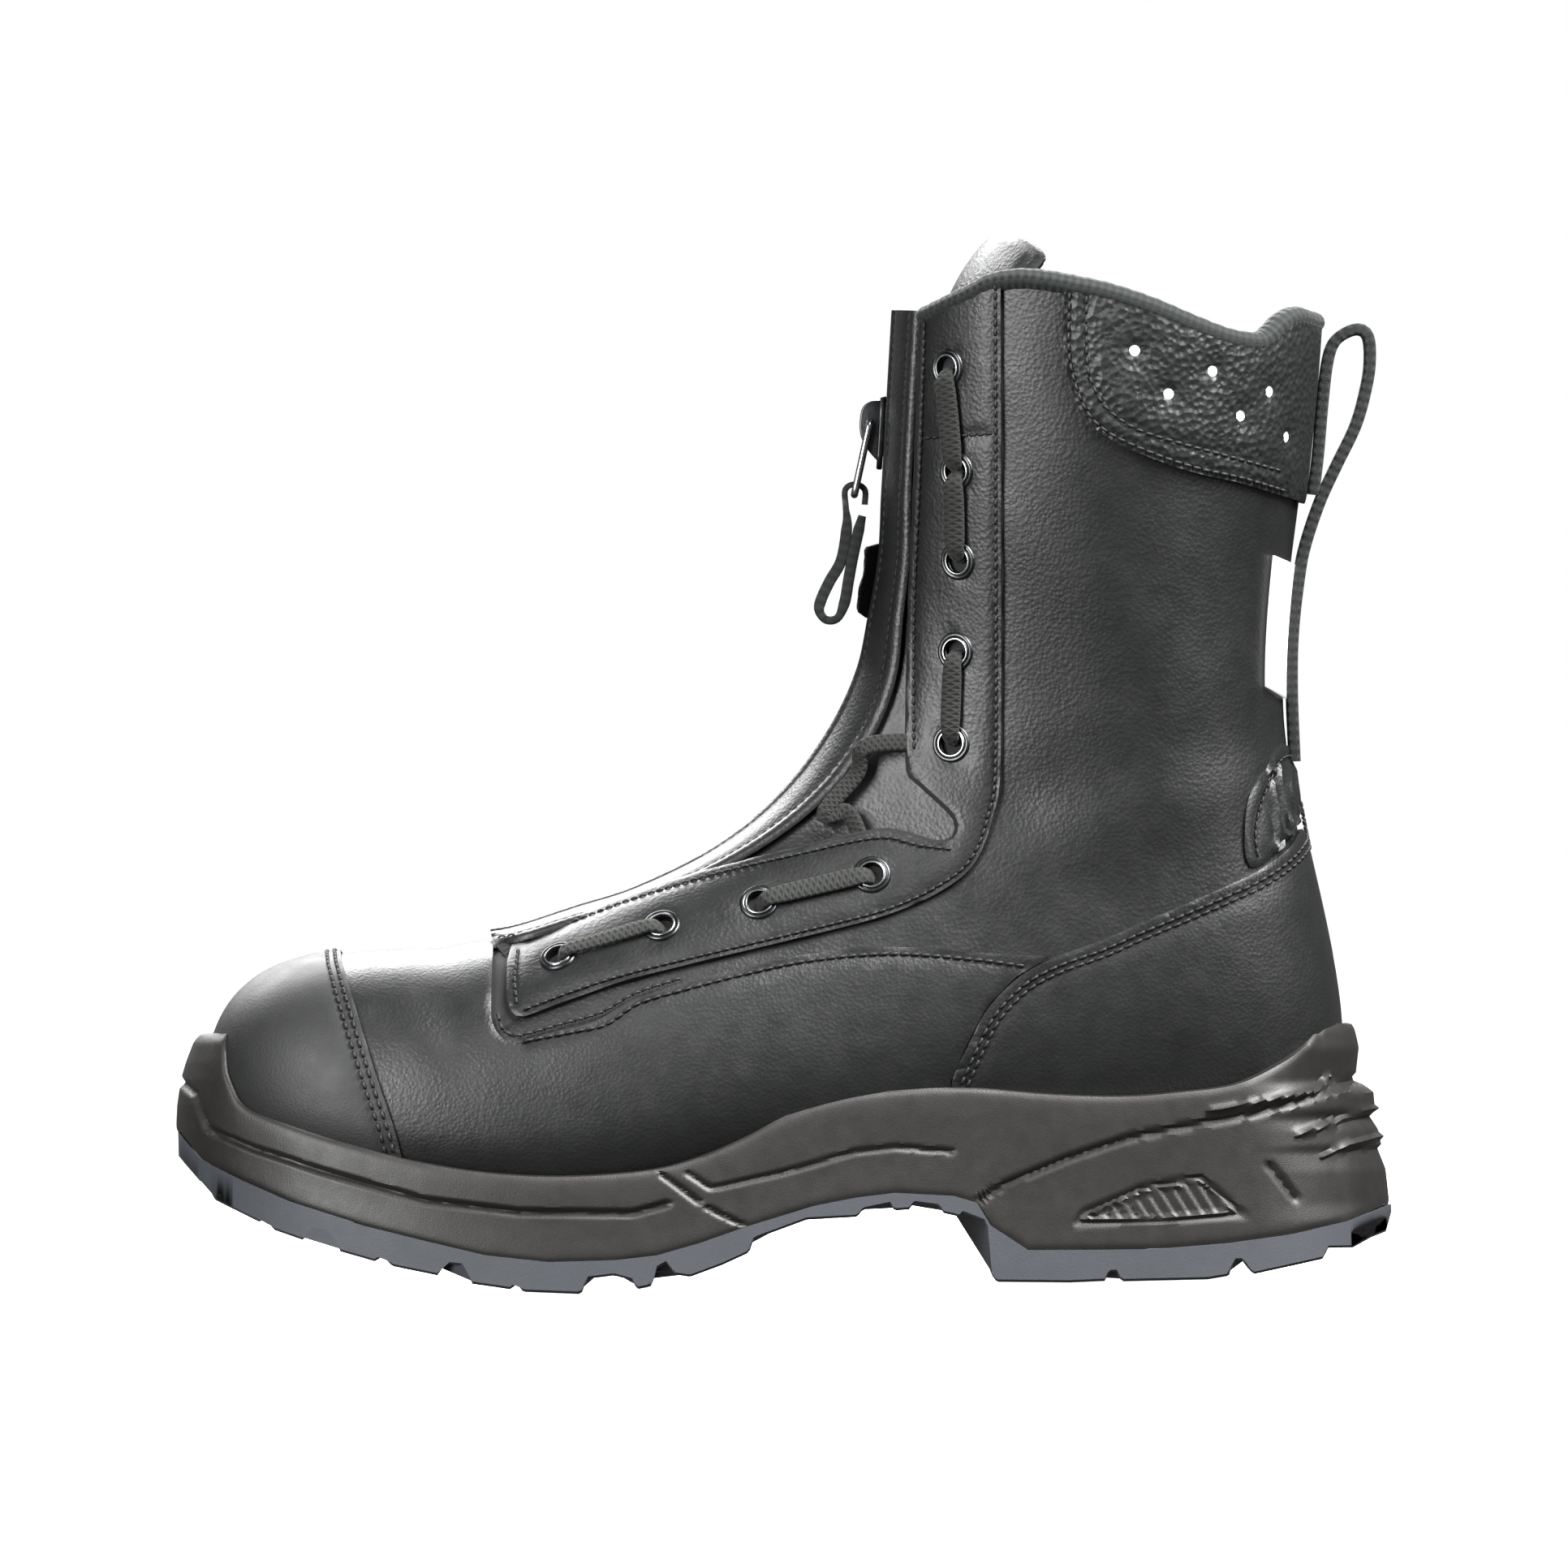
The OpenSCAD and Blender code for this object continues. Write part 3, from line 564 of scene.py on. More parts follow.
def flat_section(width: float, thick: float, corner: float = 0.6, per_corner: int = 3) -> Points:
    """Outline of a rounded rectangle, as (across, up) pairs."""
    r = min(corner, thick / 2 - 0.01, width / 2 - 0.01)
    out = []
    for cx, cy, start in ((1, 1, 0), (-1, 1, 90), (-1, -1, 180), (1, -1, 270)):
        for a in np.radians(np.linspace(start, start + 90, per_corner)):
            out.append([cx * (width / 2 - r) + r * math.cos(a), cy * (thick / 2 - r) + r * math.sin(a)])
    return np.array(out)


def oval_section(width: float, thick: float, count: int = 14) -> Points:
    """Outline of an ellipse, as (across, up) pairs."""
    a = np.linspace(0, 2 * np.pi, count, endpoint=False)
    return np.stack([width / 2 * np.cos(a), thick / 2 * np.sin(a)], axis=1)


# ---------------------------------------------------------------- leather panels
@dataclass(frozen=True)
class Hole:
    """A round hole through a panel, at a side-view place."""

    at: tuple
    radius: float


@dataclass
class Panel:
    """A sheet cut to an outline and wrapped round the last, with its edges turned and its seams drawn in."""

    name: str
    loop: Points
    top: float
    thick: float
    seams: Sequence[Points] = ()
    holes: Sequence[Points] = ()
    cell: float = 2.4
    edge_drop: float = 0.55
    seam_depth: float = 0.5
    dome: float = 0.0
    dome_width: float = 9.0
    ripple: float = 0.12
    shape: Optional[Callable[[Points, Points], Points]] = None

    SCALE = np.array([13.0, 0.75])

    @staticmethod
    def side_loop(points: Sequence, side: Side) -> Points:
        """Closed outline seen from one side, as rows and angles."""
        p = np.asarray(points, float)
        return Last.uv(even(np.vstack([p, p[:1]]), 1.5), side)

    @staticmethod
    def front_loop(stroke: Sequence) -> Points:
        """Outline that crosses the front ridge: the stroke on the inner side and its mirror image.

        Args:
            stroke: side-view places from ridge to ridge.

        Returns:
            The closed outline as rows and angles.
        """
        half = Last.uv(even(np.asarray(stroke, float), 1.5), Side.INNER)
        return np.vstack([half, (half * [1, -1])[::-1]])

    @staticmethod
    def back_loop(stroke: Sequence) -> Points:
        """Outline that crosses the back ridge, its outer half past 180 degrees."""
        half = Last.uv(even(np.asarray(stroke, float), 1.5), Side.INNER)
        mirror = np.stack([half[:, 0], 360 - half[:, 1]], axis=1)
        return np.vstack([half, mirror[::-1]])

    @staticmethod
    def seam_on(points: Sequence, sides: Sequence[Side], wrap: bool = False) -> list:
        """Seam lines at side-view places, as rows and angles on each side.

        Args:
            points: the points.
            sides: the sides that it lies on.
            wrap: whether the outer side counts past 180 degrees.

        Returns:
            One line per side.
        """
        out = []
        for side in sides:
            uv = Last.uv(rounded(points, 1.3), side)
            if wrap and side is Side.OUTER:
                uv = uv + [0, 360]
            out.append(uv)
        return out

    @staticmethod
    def hole_loop(hole: Hole, side: Side) -> Points:
        """Closed ring round a hole, as rows and angles.

        Args:
            hole: the hole.
            side: the side of the boot.

        Returns:
            The ring's points.
        """
        a = np.linspace(0, 2 * np.pi, 20, endpoint=False)
        centre = Last.uv(np.array([hole.at]), side)[0]
        p0 = Last.point(centre[None])[0]
        step = np.array([[0.05, 0.0], [0.0, 1.0]])
        size = [np.linalg.norm(Last.point((centre + s)[None])[0] - p0) for s in step]
        return np.stack([centre[0] + hole.radius * np.cos(a) * 0.05 / size[0],
                         centre[1] + hole.radius * np.sin(a) / size[1]], axis=1)

    def build(self) -> Piece:
        """Meshes the sheet, gives it its thickness and returns it.

        Returns:
            The piece.
        """
        edge = even(self._clean(self.loop * self.SCALE), 1.5, closed=True)
        holes = [h * self.SCALE for h in self.holes]
        rings = [edge, *holes]
        points, edges = [], []
        for ring in rings:
            start = sum(map(len, points))
            points.append(ring)
            edges += [(start + i, start + (i + 1) % len(ring)) for i in range(len(ring))]
        rows = [self._inset(edge, by) for by in (0.6, 1.4)] + [self._inset(h, -0.7) for h in holes]
        for seam in self.seams:
            s = even(seam * self.SCALE, 1.2)
            rows += [s, shifted(s, 0.8), shifted(s, -0.8)]
        fixed = np.vstack([edge, *holes])
        extra = np.vstack(rows) if rows else np.zeros((0, 2))
        extra = extra[self._within(extra, edge, holes) & (gap_to(extra, fixed) > 0.35)]
        extra = self._thinned(extra, 0.45)
        lo, hi = edge.min(0), edge.max(0)
        cell = self.cell
        gx, gy = np.meshgrid(np.arange(lo[0], hi[0], cell), np.arange(lo[1], hi[1], cell * 0.87))
        gx = gx + (np.arange(gx.shape[0])[:, None] % 2) * cell / 2
        grid = np.stack([gx.ravel(), gy.ravel()], axis=1)
        grid = grid[self._within(grid, edge, holes)]
        grid = grid[gap_to(grid, np.vstack([fixed, extra])) > cell * 0.55]
        flat = np.vstack([*points, extra, grid])
        verts, _, faces, *_ = delaunay_2d_cdt([Vector(p) for p in flat], edges, [], 0, 1e-5)
        flat = np.array([tuple(v) for v in verts])
        tri = np.array([f for f in faces if len(f) == 3])
        middle = flat[tri].mean(1)
        tri = tri[self._within(middle, edge, holes)]
        uv = flat / self.SCALE
        off = self._height(uv, rings)
        body = Last.skin(uv, off)
        a, b, c = body[tri[:, 0]], body[tri[:, 1]], body[tri[:, 2]]
        facing = np.einsum("ij,ij->i", np.cross(b - a, c - a), Last.normal(uv[tri].mean(1)))
        tri = np.where(facing[:, None] > 0, tri, tri[:, ::-1])
        obj = new_object(self.name, body, tri, flat)
        self._drop_loose(obj)
        apply_modifier(obj, "SOLIDIFY", thickness=self.thick * MM, offset=-1.0)
        smooth(obj, 50)
        return obj

    def _height(self, uv: Points, rings: Sequence[Points]) -> Points:
        """Height of each point above the last, with edges, seams, padding and ripples.

        Args:
            uv: rows and angles on the last.
            rings: the outlines of edge and holes.

        Returns:
            One height per point.
        """
        base = Last.point(uv)
        ring = np.vstack([Last.point(even(r, 0.7, closed=True) / self.SCALE) for r in rings])
        d = gap_to(base, ring)
        off = self.top - self.edge_drop * np.exp(-d / 0.55)
        if self.dome:
            off = off + self.dome * (1 - np.exp(-d / (self.dome_width / 3))) ** 2
        if len(self.seams):
            line = np.vstack([Last.point(even(s * self.SCALE, 0.7) / self.SCALE) for s in self.seams])
            off = off - self.seam_depth * np.exp(-(gap_to(base, line) / 0.9) ** 2)
        off = off + self.ripple * ripples(base) * (1 - np.exp(-d / 4))
        if self.shape:
            off = off + self.shape(base, uv)
        return off

    @staticmethod
    def _clean(loop: Points) -> Points:
        """The loop without repeated points."""
        keep = np.linalg.norm(loop - np.roll(loop, 1, axis=0), axis=1) > 0.05
        return loop[keep]

    @staticmethod
    def _inset(ring: Points, by: float) -> Points:
        """The closed ring moved inward by a distance."""
        t = unit_rows(np.roll(ring, -1, 0) - np.roll(ring, 1, 0))
        area = np.sum(ring[:, 0] * np.roll(ring[:, 1], -1) - np.roll(ring[:, 0], -1) * ring[:, 1])
        return ring + by * np.sign(area) * np.stack([-t[:, 1], t[:, 0]], axis=1)

    @staticmethod
    def _within(points: Points, edge: Points, holes: Sequence[Points]) -> Points:
        """Whether each point is in the sheet and outside its holes."""
        ok = inside(points, edge)
        for hole in holes:
            ok &= ~inside(points, hole)
        return ok

    @staticmethod
    def _thinned(points: Points, least: float) -> Points:
        """The points with those that crowd an earlier one left out."""
        seen, keep = set(), []
        for i, cell in enumerate(np.round(points / least).astype(int).tolist()):
            if tuple(cell) not in seen:
                seen.add(tuple(cell))
                keep.append(i)
        return points[keep]

    @staticmethod
    def _drop_loose(obj: Piece) -> None:
        """Removes points that no face uses."""
        with editing(obj):
            bpy.ops.mesh.delete_loose(use_verts=True, use_edges=True, use_faces=False)


def ripples(points: Points) -> Points:
    """Soft unevenness of pulled leather, between about -1 and 1, at 3-D places in millimetres."""
    x, y, z = points[:, 0], points[:, 1], points[:, 2]
    return (0.5 * np.sin(x / 9.0 + np.sin(z / 14.0) * 1.7 + y / 21.0)
            + 0.35 * np.sin(z / 7.5 + np.sin(x / 11.0) * 2.1 - y / 17.0)
            + 0.25 * np.sin((x + z) / 5.1 + np.sin(y / 9.0) * 1.3))


def stitches(name: str, seams: Sequence[Points], height: float, pitch: float = 2.7,
             length: float = 1.9, radius: float = 0.38) -> Piece:
    """Rows of thread stitches that lie along seams on the last.

    Args:
        name: the piece's name.
        seams: seam lines as rows and angles.
        height: height of the thread's middle above the last.
        pitch: distance from stitch to stitch.
        length: length of one stitch.
        radius: radius of the thread.

    Returns:
        One object with every stitch.
    """
    places = []
    for seam in seams:
        fine = even(seam * Panel.SCALE, 0.5) / Panel.SCALE
        base = Last.point(fine)
        s = lengths(base)
        at = np.arange(pitch / 2, s[-1], pitch)
        uv = np.stack([np.interp(at, s, fine[:, k]) for k in (0, 1)], axis=1)
        on = Last.skin(uv, height)
        tangent = np.gradient(on, axis=0) if len(on) > 1 else np.array([[1.0, 0, 0]])
        places += [aimed(p, n, t) for p, n, t in zip(on, Last.normal(uv), tangent)]
    return placed_copies(name, stitch_master(length, radius), places)


def stitch_master(length: float, radius: float) -> Piece:
    """One stitch along X: a short thread whose ends dive into the leather."""
    path = np.array([[-0.5, 0, -1.2], [-0.42, 0, -0.1], [-0.2, 0, 0.5], [0.2, 0, 0.5],
                     [0.42, 0, -0.1], [0.5, 0, -1.2]]) * [length, 1, radius]
    return sweep("stitch", path, np.tile([0.0, 0.0, 1.0], (len(path), 1)),
                 oval_section(2.3 * radius, 2 * radius, 6))


# ---------------------------------------------------------------- finishes
class Nodes:
    """A material's node tree, with short ways to add and join nodes."""

    def __init__(self, name: str) -> None:
        """Starts a material with one principled shader."""
        self.material = bpy.data.materials.new(name)
        self.material.use_nodes = True
        self.tree = self.material.node_tree
        self.shader = self.tree.nodes["Principled BSDF"]

    def add(self, kind: str, settings: Optional[dict] = None, **inputs: object) -> bpy.types.Node:
        """Adds a node; an input may be a value or another node's output."""
        node = self.tree.nodes.new(kind)
        for key, value in (settings or {}).items():
            setattr(node, key, value)
        for key, value in inputs.items():
            self.put(node, key.replace("_", " "), value)
        return node

    def put(self, node: bpy.types.Node, socket: str, value: object) -> None:
        """Sets or links one input, by its name or its number."""
        target = node.inputs[int(socket)] if socket.isdigit() else node.inputs[socket]
        if isinstance(value, Socket):
            self.tree.links.new(value, target)
        else:
            target.default_value = value

    def coords(self, uv: bool = False, scale: Sequence[float] = (1, 1, 1), turn: float = 0.0) -> Socket:
        """Object or UV coordinates, scaled and turned about Z."""
        source = self.add("ShaderNodeTexCoord").outputs["UV" if uv else "Object"]
        mapping = self.add("ShaderNodeMapping", Vector=source, Scale=scale, Rotation=(0, 0, turn))
        return mapping.outputs["Vector"]

    def math(self, operation: str, a: object, b: object = 0.0) -> Socket:
        """One arithmetic step."""
        node = self.add("ShaderNodeMath", {"operation": operation})
        self.put(node, "0", a)
        self.put(node, "1", b)
        return node.outputs[0]

    def noise(self, where: Socket, scale: float, detail: float = 3.0) -> Socket:
        """Cloud noise between 0 and 1."""
        return self.add("ShaderNodeTexNoise", Vector=where, Scale=scale, Detail=detail).outputs["Fac"]

    def cells(self, where: Socket, scale: float, smoothness: float = 0.4) -> Socket:
        """Distance from the middle of the nearest grain cell."""
        node = self.add("ShaderNodeTexVoronoi", {"feature": "SMOOTH_F1"}, Vector=where, Scale=scale)
        node.inputs["Smoothness"].default_value = smoothness
        return node.outputs["Distance"]

    def span(self, value: Socket, low: float, high: float) -> Socket:
        """A 0 to 1 value stretched between two others."""
        node = self.add("ShaderNodeMapRange", Value=value)
        node.inputs["To Min"].default_value = low
        node.inputs["To Max"].default_value = high
        return node.outputs[0]

    def shade(self, value: Socket, dark: Sequence[float], light: Sequence[float]) -> None:
        """Colours the shader between two colours by a value."""
        mix = self.add("ShaderNodeMix", {"data_type": "RGBA"})
        self.tree.links.new(value, mix.inputs[0])
        mix.inputs[6].default_value = (*dark, 1)
        mix.inputs[7].default_value = (*light, 1)
        self.put(self.shader, "Base Color", mix.outputs[2])

    def bump(self, height: Socket, distance: float, strength: float = 1.0) -> None:
        """Raises the surface by a height map, over what was raised before."""
        node = self.add("ShaderNodeBump", Height=height, Distance=distance, Strength=strength)
        before = self.shader.inputs["Normal"].links
        if before:
            self.put(node, "Normal", before[0].from_socket)
        self.put(self.shader, "Normal", node.outputs["Normal"])


@dataclass(frozen=True)
class Leather:
    """Dyed and finished leather, from smooth to pebbled."""

    name: str
    dark: tuple
    light: tuple
    rough: float
    grain: float
    grain_depth: float
    pore_depth: float = 0.00008
    coat: float = 0.0

    def build(self) -> bpy.types.Material:
        """Makes the material.

        Returns:
            The material.
        """
        n = Nodes(self.name)
        where = n.coords()
        broad = n.noise(where, 22, 3)
        n.shade(broad, self.dark, self.light)
        wear = n.noise(where, 160, 4)
        n.put(n.shader, "Roughness", n.span(wear, self.rough - 0.09, self.rough + 0.11))
        n.put(n.shader, "Coat Weight", self.coat)
        n.put(n.shader, "Coat Roughness", 0.25)
        n.bump(n.cells(where, self.grain), self.grain_depth, 0.8)
        n.bump(n.noise(where, self.grain * 2.6, 3), self.pore_depth, 0.7)
        return n.material


@dataclass(frozen=True)
class Rubber:
    """Moulded sole rubber or foam with a fine stipple."""

    name: str
    dark: tuple
    light: tuple
    rough: float
    stipple: float = 2600.0
    depth: float = 0.00006

    def build(self) -> bpy.types.Material:
        """Makes the material.

        Returns:
            The material.
        """
        n = Nodes(self.name)
        where = n.coords()
        n.shade(n.noise(where, 35, 5), self.dark, self.light)
        n.put(n.shader, "Roughness", n.span(n.noise(where, 220, 3), self.rough - 0.08, self.rough + 0.1))
        n.bump(n.noise(where, self.stipple, 2), self.depth, 0.8)
        n.bump(n.noise(where, 90, 3), 0.00025, 0.5)
        return n.material


@dataclass(frozen=True)
class Metal:
    """Plated or brushed metal with faint wear."""

    name: str
    dark: tuple
    light: tuple
    rough: float

    def build(self) -> bpy.types.Material:
        """Makes the material.

        Returns:
            The material.
        """
        n = Nodes(self.name)
        where = n.coords()
        n.shade(n.noise(where, 420, 4), self.dark, self.light)
        n.put(n.shader, "Metallic", 1.0)
        n.put(n.shader, "Roughness", n.span(n.noise(where, 900, 4), self.rough - 0.07, self.rough + 0.1))
        n.bump(n.noise(where, 1500, 2), 0.00003, 0.6)
        return n.material


class Weave(Enum):
    """How a textile's threads cross."""

    BRAID = "braid"
    RIB = "rib"
    KNIT = "knit"
    FUZZ = "fuzz"


@dataclass(frozen=True)
class Textile:
    """Woven or knitted textile whose threads follow the piece's own UVs, or the body for knits; its colour is
    darker in the hollows between threads, a painted shade.
    """

    name: str
    dark: tuple
    light: tuple
    weave: Weave
    pitch: float = 0.0009
    depth: float = 0.00025
    rough: float = 0.85
    sheen: float = 0.08

    def build(self) -> bpy.types.Material:
        """Makes the material.

        Returns:
            The material.
        """
        n = Nodes(self.name)
        height = self._threads(n)
        # Colour follows the thread height: painted shade in the hollows between threads, lighter thread tops.
        n.shade(height, self.dark, self.light)
        n.put(n.shader, "Roughness", self.rough)
        n.put(n.shader, "Sheen Weight", self.sheen)
        n.put(n.shader, "Sheen Roughness", 0.5)
        n.bump(height, self.depth, 0.9)
        n.bump(n.noise(n.coords(), 3200, 3), 0.00008, 0.6)
        return n.material

    def _threads(self, n: Nodes) -> Socket:
        """Height of the threads, between 0 and 1.

        Args:
            n: the node tree.

        Returns:
            The height.
        """
        if self.weave is Weave.FUZZ:
            where = n.coords()
            return n.math("ADD", n.math("MULTIPLY", n.noise(where, 1400, 6), 0.7),
                          n.math("MULTIPLY", n.cells(where, 900), 0.5))
        if self.weave is Weave.KNIT:
            where = n.coords()
            cells = n.cells(where, 1 / self.pitch, 0.2)
            return n.math("SUBTRACT", 1.0, cells)
        waves = []
        turns = (0.6, -0.6) if self.weave is Weave.BRAID else (0.0, math.pi / 2)
        for turn in turns:
            wave = n.add("ShaderNodeTexWave", {"wave_type": "BANDS", "bands_direction": "X",
                                               "wave_profile": "SIN"},
                         Vector=n.coords(uv=True, turn=turn), Scale=math.pi / (20 * self.pitch))
            waves.append(wave.outputs["Fac"])
        return n.math("MAXIMUM", waves[0], waves[1]) if self.weave is Weave.BRAID else n.math(
            "MULTIPLY", n.math("ADD", waves[0], n.math("MULTIPLY", waves[1], 0.5)), 0.66)


@dataclass(frozen=True)
class Plain:
    """Simple matt or glossy finish with a little unevenness, for parts seldom seen and for the set."""

    name: str
    colour: tuple
    rough: float
    grain: float = 400.0
    depth: float = 0.0001
    metallic: float = 0.0
    glow: float = 0.0

    def build(self) -> bpy.types.Material:
        """Makes the material.

        Returns:
            The material.
        """
        n = Nodes(self.name)
        where = n.coords()
        dim = tuple(c * 0.82 for c in self.colour)
        n.shade(n.noise(where, self.grain / 8, 3), dim, self.colour)
        n.put(n.shader, "Roughness", self.rough)
        n.put(n.shader, "Metallic", self.metallic)
        # Glow is emitted light: an evenly bright floor for the set, and a painted glow on the reflective
        # finish.
        if self.glow:
            n.put(n.shader, "Emission Color", (*self.colour, 1))
            n.put(n.shader, "Emission Strength", self.glow)
        n.bump(n.noise(where, self.grain, 3), self.depth, 0.7)
        return n.material


FINISHES = {f.name: f for f in (
    Leather("leather", (0.0045, 0.0047, 0.005), (0.0085, 0.0088, 0.009), 0.42, 1000, 0.00011, 0.00005),
    Leather("vamp_leather", (0.005, 0.0052, 0.0055), (0.0095, 0.0098, 0.01), 0.42, 1100, 0.00009, 0.00005),
    Leather("cap_leather", (0.009, 0.0093, 0.0097), (0.0125, 0.0129, 0.0133), 0.55, 1500, 0.00005, 0.00004),
    Leather("pebble_leather", (0.005, 0.0053, 0.0056), (0.013, 0.0137, 0.0137), 0.44, 560, 0.0006, 0.0001),
    Rubber("midsole", (0.009, 0.0082, 0.0073), (0.0145, 0.0133, 0.012), 0.46),
    Rubber("outsole", (0.034, 0.038, 0.044), (0.05, 0.055, 0.064), 0.6),
    Metal("gunmetal", (0.035, 0.037, 0.039), (0.09, 0.092, 0.095), 0.3),
    Metal("bright_ring", (0.28, 0.29, 0.3), (0.5, 0.51, 0.52), 0.26),
    Metal("black_metal", (0.02, 0.021, 0.022), (0.06, 0.062, 0.064), 0.32),
    Metal("wire", (0.35, 0.35, 0.35), (0.65, 0.65, 0.64), 0.22),
    Metal("spring_steel", (0.4, 0.41, 0.43), (0.58, 0.59, 0.61), 0.3),
    Textile("lace", (0.0025, 0.003, 0.0024), (0.013, 0.0145, 0.0115), Weave.BRAID, 0.0007, 0.0003),
    Textile("binding", (0.003, 0.0042, 0.0038), (0.013, 0.018, 0.016), Weave.RIB, 0.001, 0.0004),
    Textile("webbing", (0.003, 0.0036, 0.0034), (0.011, 0.013, 0.0125), Weave.RIB, 0.0012, 0.0003),
    Textile("zip_tape", (0.004, 0.004, 0.004), (0.016, 0.016, 0.016), Weave.RIB, 0.0008, 0.0002),
    Textile("lining_mesh", (0.02, 0.021, 0.023), (0.06, 0.062, 0.066), Weave.KNIT, 0.0022, 0.0006),
    Textile("footbed_cloth", (0.02, 0.02, 0.022), (0.05, 0.05, 0.054), Weave.KNIT, 0.0014, 0.0003),
    Textile("hook_loop", (0.005, 0.006, 0.007), (0.035, 0.038, 0.042), Weave.FUZZ, 0.001, 0.0006),
    # The reflective finish glows: a painted glow on the white strip and the vent discs, which are no lamps.
    Plain("reflective", (0.9, 0.9, 0.91), 0.35, 2600, 0.00003, 0.0, 0.6),
    Plain("backing", (0.006, 0.006, 0.0065), 0.8, 1500, 0.0001),
    Plain("thread", (0.0035, 0.0036, 0.0038), 0.6, 3000, 0.00008),
    Plain("board", (0.42, 0.34, 0.23), 0.85),
    Plain("stiffener", (0.16, 0.16, 0.165), 0.6),
    Plain("foam", (0.6, 0.54, 0.36), 0.95, 900, 0.0006),
    Plain("floor", (0.95, 0.95, 0.95), 0.8, 60, 0.00005, 0.0, 1.25),
)}
_BUILT: dict = {}


def sew(name: str, panel: Piece, thread: Piece, finish: str) -> None:
    """Finishes a sewn panel and its thread and attaches both to the boot, the panel in place of its CAD node.

    Args:
        name: the CAD node that the panel stands for.
        panel: the panel.
        thread: its stitches.
        finish: the panel's finish.
    """
    settle(dress(panel, finish), stands_for=(name,))
    settle(dress(thread, "thread"))


def dress(obj: Piece, *names: str) -> Piece:
    """Gives obj the named finishes, in place of any it had."""
    obj.data.materials.clear()
    for name in names:
        if name not in _BUILT:
            _BUILT[name] = FINISHES[name].build()
        obj.data.materials.append(_BUILT[name])
    return obj


def settle(obj: Piece, body: str = ROOT_BODY, stands_for: Sequence[str] = ()) -> Piece:
    """Attaches a finished piece to its body and hides the CAD nodes that it stands for.

    Args:
        obj: the piece, at the origin.
        body: the CAD body that it rides on.
        stands_for: CAD nodes that it replaces.

    Returns:
        The same piece.
    """
    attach(obj, body)
    if stands_for:
        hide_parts(*stands_for)
    LOG.info("%s: %d faces", obj.name, len(obj.data.polygons))
    return obj


# ---------------------------------------------------------------- pattern pieces, seen from the side
RIM = [(-146.3, 72.7), (-147.5, 66), (-145.8, 58.5), (-141.5, 52), (-136.7, 47.9), (-122, 42.3), (-107, 37.8),
       (-94, 34.4), (-76, 31.3), (-56, 30), (-35, 31), (-22, 33.9), (-9.6, 38.8), (3, 44.8), (18, 48.7),
       (33, 50), (49, 50), (70, 48), (87, 47.2), (101, 47.9), (116, 49.6), (129, 54.6), (137, 58.6), (146.4,
                                                                                                      64.2)]
COLLAR = [(40.3, 250.6), (47, 253.6), (53.6, 256.5), (58, 258.7), (64.9, 259.6), (72.2, 258.8), (79.7, 257.2),
          (87.2, 255.4), (98.2, 251.6), (109.3, 246.7), (118.2, 243.2), (125.5, 242), (128.6, 243.4),
          (132.5, 247.1), (136.1, 248.5), (139.5, 247.5)]
FACING_EDGE = [(40.3, 249), (38, 209), (35.5, 171.4), (34.2, 134.3), (36.5, 129.5), (41.5, 124.5),
               (45.6, 120.2),
               (46.6, 116.6), (44.6, 113.4), (40.5, 112.8), (35.5, 114.4), (28.8, 116.2), (20.7, 115.4),
               (7.5, 112.5), (-5.9, 109.5), (-37.4, 101.2), (-54.3, 94.9), (-66.5, 89.6), (-68.6, 87.8)]
FACING_BACK = [(-69.6, 84), (-69.8, 75), (-68.3, 71.2), (-65.4, 70.6), (-52.4, 75), (-37.9, 79.6),
               (-12.9, 85.3),
               (11.8, 90.8), (28.4, 95), (41.6, 100.6), (50.3, 107.5), (55.4, 119.4), (57.9, 135.4),
               (59.4, 196),
               (60.7, 258)]
FACING_SEAM = [(59.4, 256), (58.1, 195.9), (56.6, 135.4), (54.2, 119.8), (49.3, 108.5), (41, 102),
               (28.4, 96.4),
               (11.8, 92.2), (-12.9, 86.7), (-37.9, 81), (-52.4, 76.7), (-65.2, 72.2)]
FACING_FRONT_SEAM = [(-67.3, 73.5), (-67.6, 80), (-66.6, 87)]
FACING_EDGE_SEAM = [(42, 249), (39.8, 209), (37.2, 171.4), (35.9, 136.5)]
FACING_TOP_SEAM = [(44.5, 111.2), (36, 112.4), (28.8, 114.3), (20.7, 113.6), (7.5, 110.7), (-16, 105.3),
                   (-36.6, 99.3), (-52, 93.8), (-63.8, 89.2)]
FACING_CROSS_SEAM = [(41, 216.9), (49, 217.2), (57, 217.6)]
QUARTER_FRONT = [(-78, 66), (-60, 76), (-38, 84.5), (-12, 90.5), (12, 96), (27, 100.5), (38, 106),
                 (45, 112.5),
                 (49.5, 122), (51.5, 136), (53, 196), (54.5, 256)]
VAMP_TOP = [(-71.5, 120), (-73.9, 74), (-73.6, 69), (-71.8, 65.6), (-67.6, 64.4), (-56, 67), (-46, 69.6),
            (-38, 74.6), (-25.6, 78.2), (-9, 82), (7.5, 85.2), (28.2, 86.6), (48.8, 84.9), (69.4, 83.4)]
VAMP_SEAMS = [[(-72.2, 71.5), (-71.6, 68.2), (-69.6, 66.2), (-66, 65.9), (-55.9, 68.5), (-45.9, 71.2),
               (-37, 75.9),
               (-25, 79.6)],
              [(-66, 64.2), (-52, 66.6), (-44.5, 68.2), (-36.5, 73.2), (-25, 76.5), (-9, 80.3), (7.5, 83.4),
               (28.2, 84.8), (48.8, 83.1), (63, 81)]]
COUNTER_SEAM = [(43.1, 42), (43.1, 52.5), (47.5, 61.4), (52.7, 70.4), (61, 78.4), (70.3, 83.2), (81.8, 87.1),
                (91.7, 91.3), (104.4, 96.4), (114.5, 100.6), (122, 104), (130.1, 109.8), (135.5, 118.7),
                (139, 125)]
